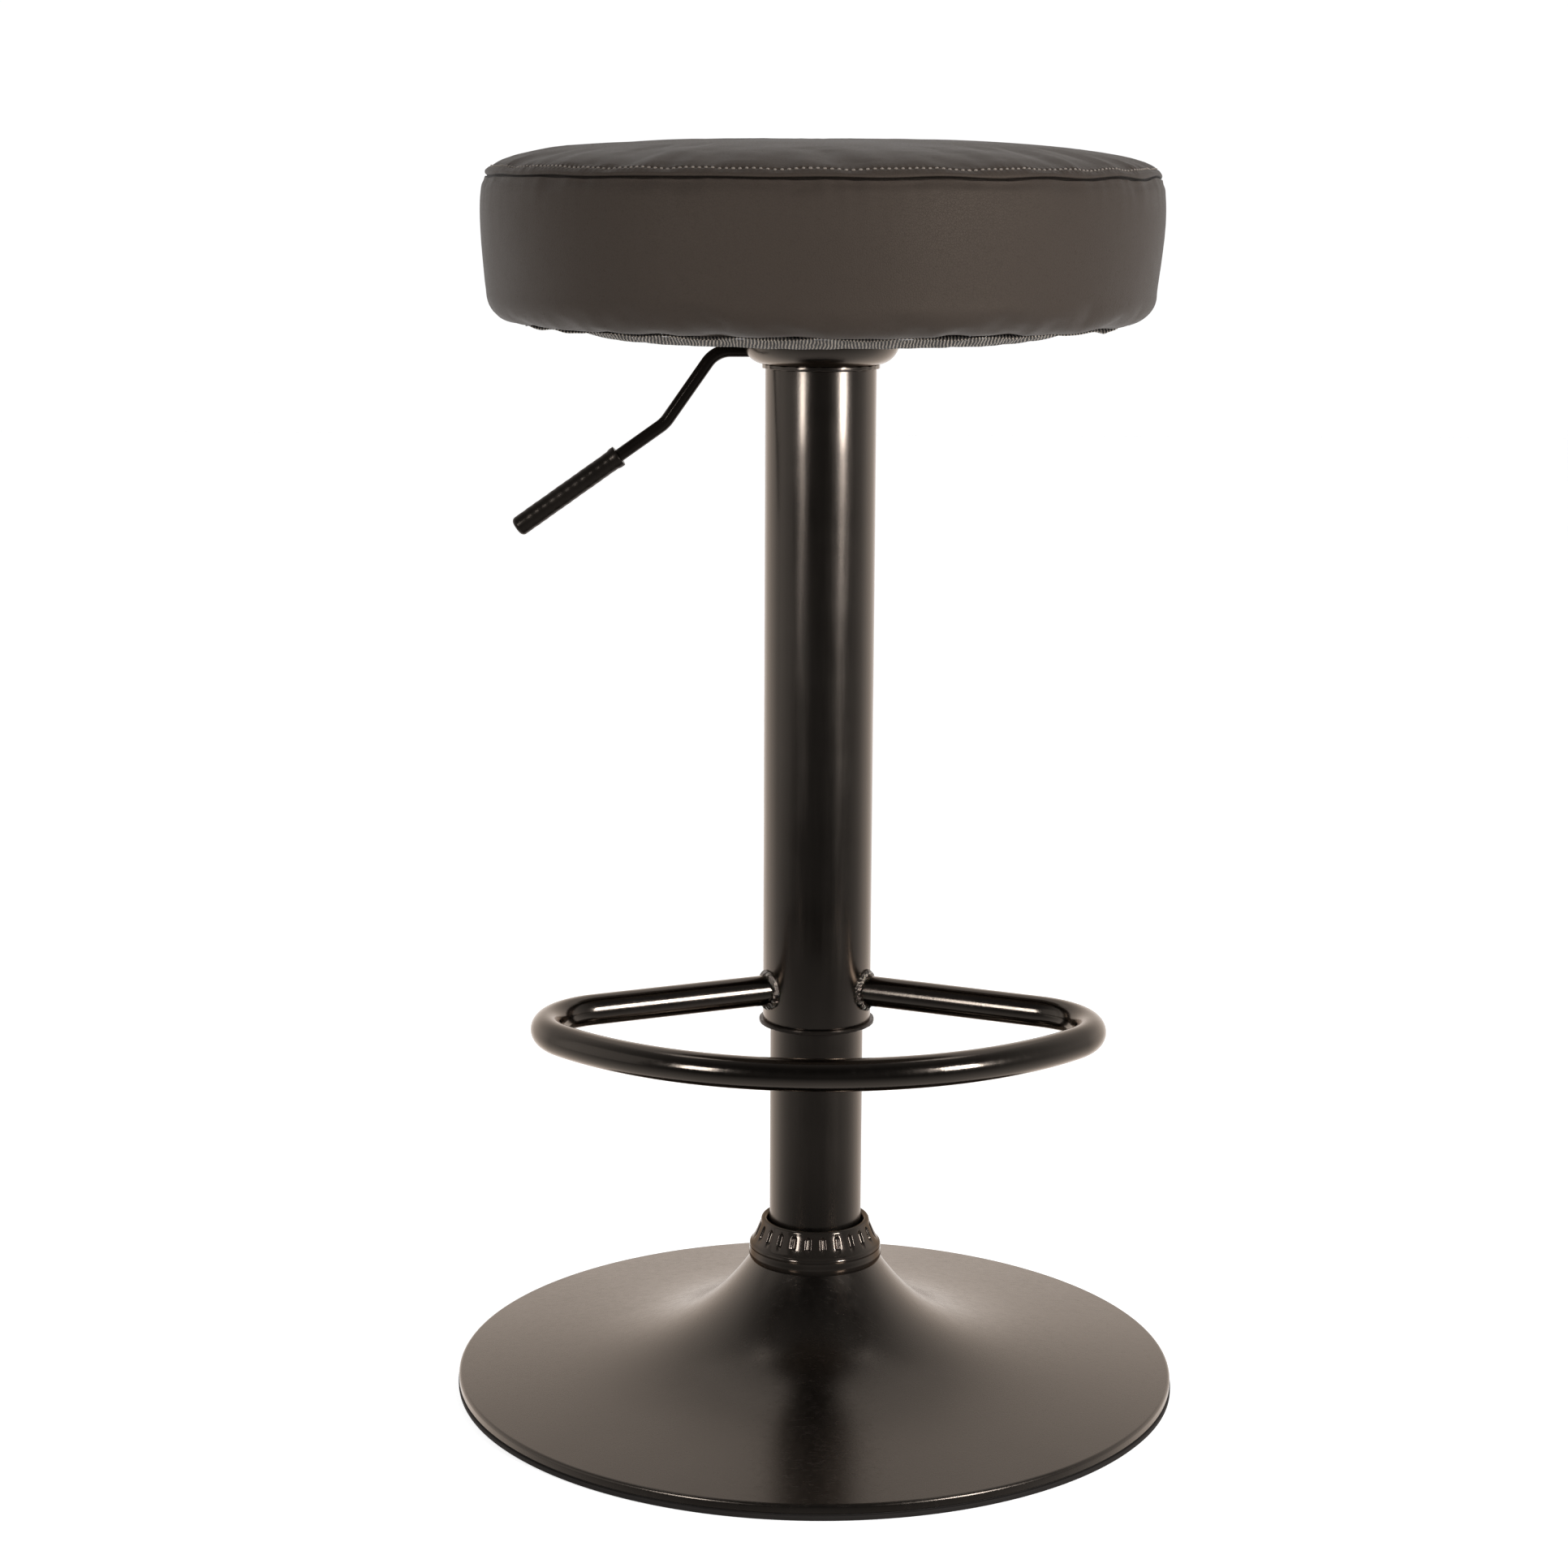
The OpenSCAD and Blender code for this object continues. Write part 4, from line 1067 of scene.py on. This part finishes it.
# Thread showing as one short oval per stitch along a curve
def stitchTree():
    tree, start, end = newTree("topstitching", [
        ("Stitches", "NodeSocketInt", 300), ("Stitch length", "NodeSocketFloat", stitch["long"]),
        ("Thread", "NodeSocketFloat", stitch["thread"]), ("Thread finish", "NodeSocketMaterial", None)])
    dots = put(tree, "GeometryNodeResampleCurve", {"Curve": start.outputs["Geometry"],
                                                   "Count": start.outputs["Stitches"]})
    bead = put(tree, "GeometryNodeMeshUVSphere", {"Segments": 8, "Rings": 6, "Radius": 0.5})
    size = put(tree, "ShaderNodeCombineXYZ", {"X": start.outputs["Thread"], "Y": start.outputs["Thread"],
                                              "Z": start.outputs["Stitch length"]})
    shaped = put(tree, "GeometryNodeTransform", {"Geometry": bead.outputs["Mesh"], "Scale": size.outputs[0]})
    way = put(tree, "GeometryNodeInputTangent")
    turn = put(tree, "FunctionNodeAlignRotationToVector", {"Vector": way.outputs[0]}, axis="Z")
    jitter = put(tree, "FunctionNodeRandomValue", {"Seed": stitch["seed"]}, data_type="FLOAT_VECTOR")
    jitter.inputs[0].default_value = stitch["least"]
    jitter.inputs[1].default_value = stitch["most"]
    spots = put(tree, "GeometryNodeInstanceOnPoints", {"Points": dots.outputs[0],
                "Instance": shaped.outputs[0], "Rotation": turn.outputs[0], "Scale": jitter.outputs[0]})
    real = put(tree, "GeometryNodeRealizeInstances", {0: spots.outputs[0]})
    finish = put(tree, "GeometryNodeSetMaterial", {"Geometry": real.outputs[0],
                                                   "Material": start.outputs["Thread finish"]})
    tree.links.new(finish.outputs[0], end.inputs[0])
    return tree


topstitch = grown("seatTopstitching", curveFrom("stitchLine", [stitchLine], True), stitchTree(),
                  {"Stitches": stitchCount, "Stitch length": stitch["long"], "Thread": stitch["thread"],
                   "Thread finish": thread})
settle(topstitch, "seat", "faux_leather_taupe")
print("topstitching made,", len(topstitch.data.polygons), "faces")


# ---- dust cover and staples ----

dust = dict(inner=42.2, outer=151.8, low=559.0, rimZ=566.1, flat=138.5, sag=106.0, thick=0.5,
            segments=480, rings=46, scallop=0.75, wave=2.0, pull=0.5, staples=24)


# The cloth's lower face: low in the middle, rising to the board at its rim, loose between staples
def dustHeight(r, turn):
    u = np.clip((r - dust["sag"]) / (dust["flat"] - dust["sag"]), 0, 1)
    z = dust["low"] + (dust["rimZ"] - dust["low"]) * (1 - np.cos(math.pi * u)) / 2
    pin = 0.5 - 0.5 * np.cos(dust["staples"] * turn)  # 0 at each staple
    edge = np.clip((r - dust["flat"] - 4) / (dust["outer"] - dust["flat"] - 4), 0, 1)
    rough = 0.75 + 0.45 * ripple(turn, 3, 17, 41)
    z = z - dust["wave"] * edge ** 1.5 * pin * np.clip(rough, 0.1, 1.6)
    pull = np.exp(-((r - 128) / 17) ** 2)
    z = z - dust["pull"] * pull * (np.cos(dust["staples"] * turn) + ripple(turn, 30, 70, 42))
    z = np.maximum(z, dust["low"] + 0.1)
    return z + 0.25 * ripple(turn, 4, 13, 43) * np.clip((r - 45) / 30, 0, 1) * np.clip((130 - r) / 20, 0, 1)


def makeDustCover():
    segments = dust["segments"]
    turn = aroundTurn(segments)
    fringe = dust["scallop"] * (np.cos(dust["staples"] * turn) + 0.6 * ripple(turn, 20, 60, 44)) - 0.6
    share = np.linspace(0, 1, dust["rings"])[:, None]
    grid = np.tile(turn, (dust["rings"], 1))
    radius = dust["inner"] + (dust["outer"] - dust["inner"]) * share ** 0.92
    radius = radius + fringe[None, :] * share ** 8
    low = dustHeight(radius, grid)
    top = low + dust["thick"]
    points = np.concatenate([spun(radius, low, grid), spun(radius[::-1], top[::-1], grid)])
    flat = points.reshape(-1, 3) * mm
    faces = ringFaces(len(points), segments)
    uv = flat[np.array(faces).ravel(), :2]
    return creased(meshObject("dustCover", flat, faces, uv, dustWeave), 60)


dustCover = makeDustCover()
settle(dustCover, "seat", "dust_cloth", "dust_cover")
print("dust cover made")


# Wire radius, half width, legs, height from the cloth's rim and ring radius in millimetres, and
# slant in radians
staple = dict(wire=0.35, half=4.65, legs=3.0, lift=-0.35, ringR=144.8, slant=0.08)


# Round wire along each staple's line
def stapleTree():
    tree, start, end = newTree("staples", [
        ("Wire", "NodeSocketFloat", staple["wire"] * mm), ("Finish", "NodeSocketMaterial", None)])
    outline = put(tree, "GeometryNodeCurvePrimitiveCircle",
                  {"Radius": start.outputs["Wire"], "Resolution": 6})
    wireMesh = put(tree, "GeometryNodeCurveToMesh", {"Curve": start.outputs["Geometry"],
                   "Profile Curve": outline.outputs[0], "Fill Caps": True})
    finish = put(tree, "GeometryNodeSetMaterial", {"Geometry": wireMesh.outputs[0],
                                                   "Material": start.outputs["Finish"]})
    real = put(tree, "GeometryNodeRealizeInstances", {0: finish.outputs[0]})
    tree.links.new(real.outputs[0], end.inputs[0])
    return tree


# A ring of staples, each slanted a little, with its legs up into the board
def stapleRuns():
    rng = np.random.default_rng(9)
    z = dust["rimZ"] + staple["lift"]
    right = [(staple["half"] - 0.55, 0), (staple["half"] - 0.15, 0.12), (staple["half"], 0.5),
             (staple["half"], staple["legs"])]
    shape = [(-across, rise) for across, rise in right[::-1]] + right
    runs = []
    for turn in aroundTurn(dust["staples"]):
        slant = rng.uniform(-staple["slant"], staple["slant"])
        run = []
        for across, rise in shape:
            r = staple["ringR"] + across * math.sin(slant)
            x = r * math.cos(turn) - across * math.sin(turn)
            y = r * math.sin(turn) + across * math.cos(turn)
            run.append((x * mm, y * mm, (z + rise) * mm))
        runs.append(run)
    return runs


coverStaples = grown("coverStaples", curveFrom("stapleLines", stapleRuns(), False), stapleTree(),
                     {"Wire": staple["wire"] * mm, "Finish": zinc})
settle(coverStaples, "seat", "zinc_steel", "staples")
print("staples made")


# ---- studio ----

studio = dict(floor=6.0, floorZ=-0.0003, front=0.08, sides=0.5, back=1.35)

# Each softbox: its place and aim, its width and height in metres, its power, and whether matt
# surfaces take its light as well as glossy ones
softboxes = dict(
    right=((1.22, -1.18, 0.70), (0, 0, 0.5), 0.34, 0.54, 25.0, True),
    left=((-1.05, -1.32, 0.70), (0, 0, 0.5), 0.3, 0.54, 10.5, True),
    fillLeft=((-2.0, -0.55, 0.7), (0, 0, 0.45), 1.3, 1.7, 1.8, False),
    overhead=((0, 0.9, 2.3), (0, 0.2, 0), 2.2, 1.8, 3.0, True),
    overheadStrip=((0, 0.25, 2.1), (0, 0, 0), 1.7, 0.3, 3.0, False))

view = dict(lens=72.78, sensor=36, at=(-0.0179, -1.6312, 0.6478), tilt=78.853, roll=0.28)


def makeFloor():
    half = studio["floor"]
    corners = [(-half, -half), (half, -half), (half, half), (-half, half)]
    floor = meshObject("floor", [(x, y, studio["floorZ"]) for x, y in corners], [(0, 1, 2, 3)])
    material, tree, shader = newMaterial("paleFloor")
    wire(tree, shader, Base_Color=(0.86, 0.86, 0.86, 1), Roughness=0.8, Specular_IOR_Level=0.1,
         Emission_Color=(1, 1, 1, 1), Emission_Strength=0.66)
    floor.data.materials.append(material)
    floor.visible_glossy = False  # the studio's lower half is what the lacquer mirrors
    floor.visible_diffuse = False


def makeSoftbox(name, at, aim, wide, high, power, lit):
    data = bpy.data.lights.new(name, "AREA")
    data.shape = "RECTANGLE"
    data.size = wide
    data.size_y = high
    data.energy = power
    light = linked(name, data)
    light.location = at
    light.rotation_euler = (Vector(at) - Vector(aim)).to_track_quat("Z", "Y").to_euler()
    light.visible_camera = False
    light.visible_diffuse = lit


# Bright behind the stool, dim on the front side, fairly dim below and above
def makeWorld():
    world = bpy.data.worlds.new("studio")
    world.use_nodes = True
    tree = world.node_tree
    tree.nodes.clear()
    way = put(tree, "ShaderNodeTexCoord").outputs["Generated"]
    parts = put(tree, "ShaderNodeSeparateXYZ", {0: way})
    depth = put(tree, "ShaderNodeFloatCurve", {"Value": span(tree, parts.outputs[1], 0.0, 1.0, -1.0, 1.0)})
    curve = depth.mapping.curves[0]
    curve.points[0].location = (0.0, studio["front"] / 2)
    curve.points[1].location = (1.0, studio["back"] / 2)
    for x, y in [(0.15, studio["front"] / 2), (0.5, studio["sides"] / 2), (0.8, studio["back"] / 2)]:
        curve.points.new(x, y)
    depth.mapping.update()
    level = times(tree, depth.outputs[0], 2.0)
    low = span(tree, parts.outputs[2], 0.34, 0.0, -0.75, -0.2)
    high = span(tree, parts.outputs[2], 1.0, 0.4, 0.2, 0.8)
    glow = times(tree, plus(tree, level, low), high)
    seen = put(tree, "ShaderNodeLightPath").outputs["Is Camera Ray"]
    strength = put(tree, "ShaderNodeMix", {0: seen, 2: glow, 3: 1.02}, data_type="FLOAT").outputs[0]
    back = put(tree, "ShaderNodeBackground", {"Color": (1, 1, 1, 1), "Strength": strength})
    put(tree, "ShaderNodeOutputWorld", {"Surface": back.outputs[0]})
    bpy.context.scene.world = world


def makeCamera():
    data = bpy.data.cameras.new("camera")
    data.lens = view["lens"]
    data.sensor_width = view["sensor"]
    camera = linked("camera", data)
    aim = (Matrix.Rotation(math.radians(view["tilt"]), 4, "X")
           @ Matrix.Rotation(math.radians(view["roll"]), 4, "Z"))
    camera.matrix_world = Matrix.Translation(view["at"]) @ aim
    bpy.context.scene.camera = camera


makeFloor()
makeWorld()
for label, box in softboxes.items():
    makeSoftbox(label, *box)
makeCamera()
bpy.context.scene.view_settings.view_transform = "Standard"
print("studio set")
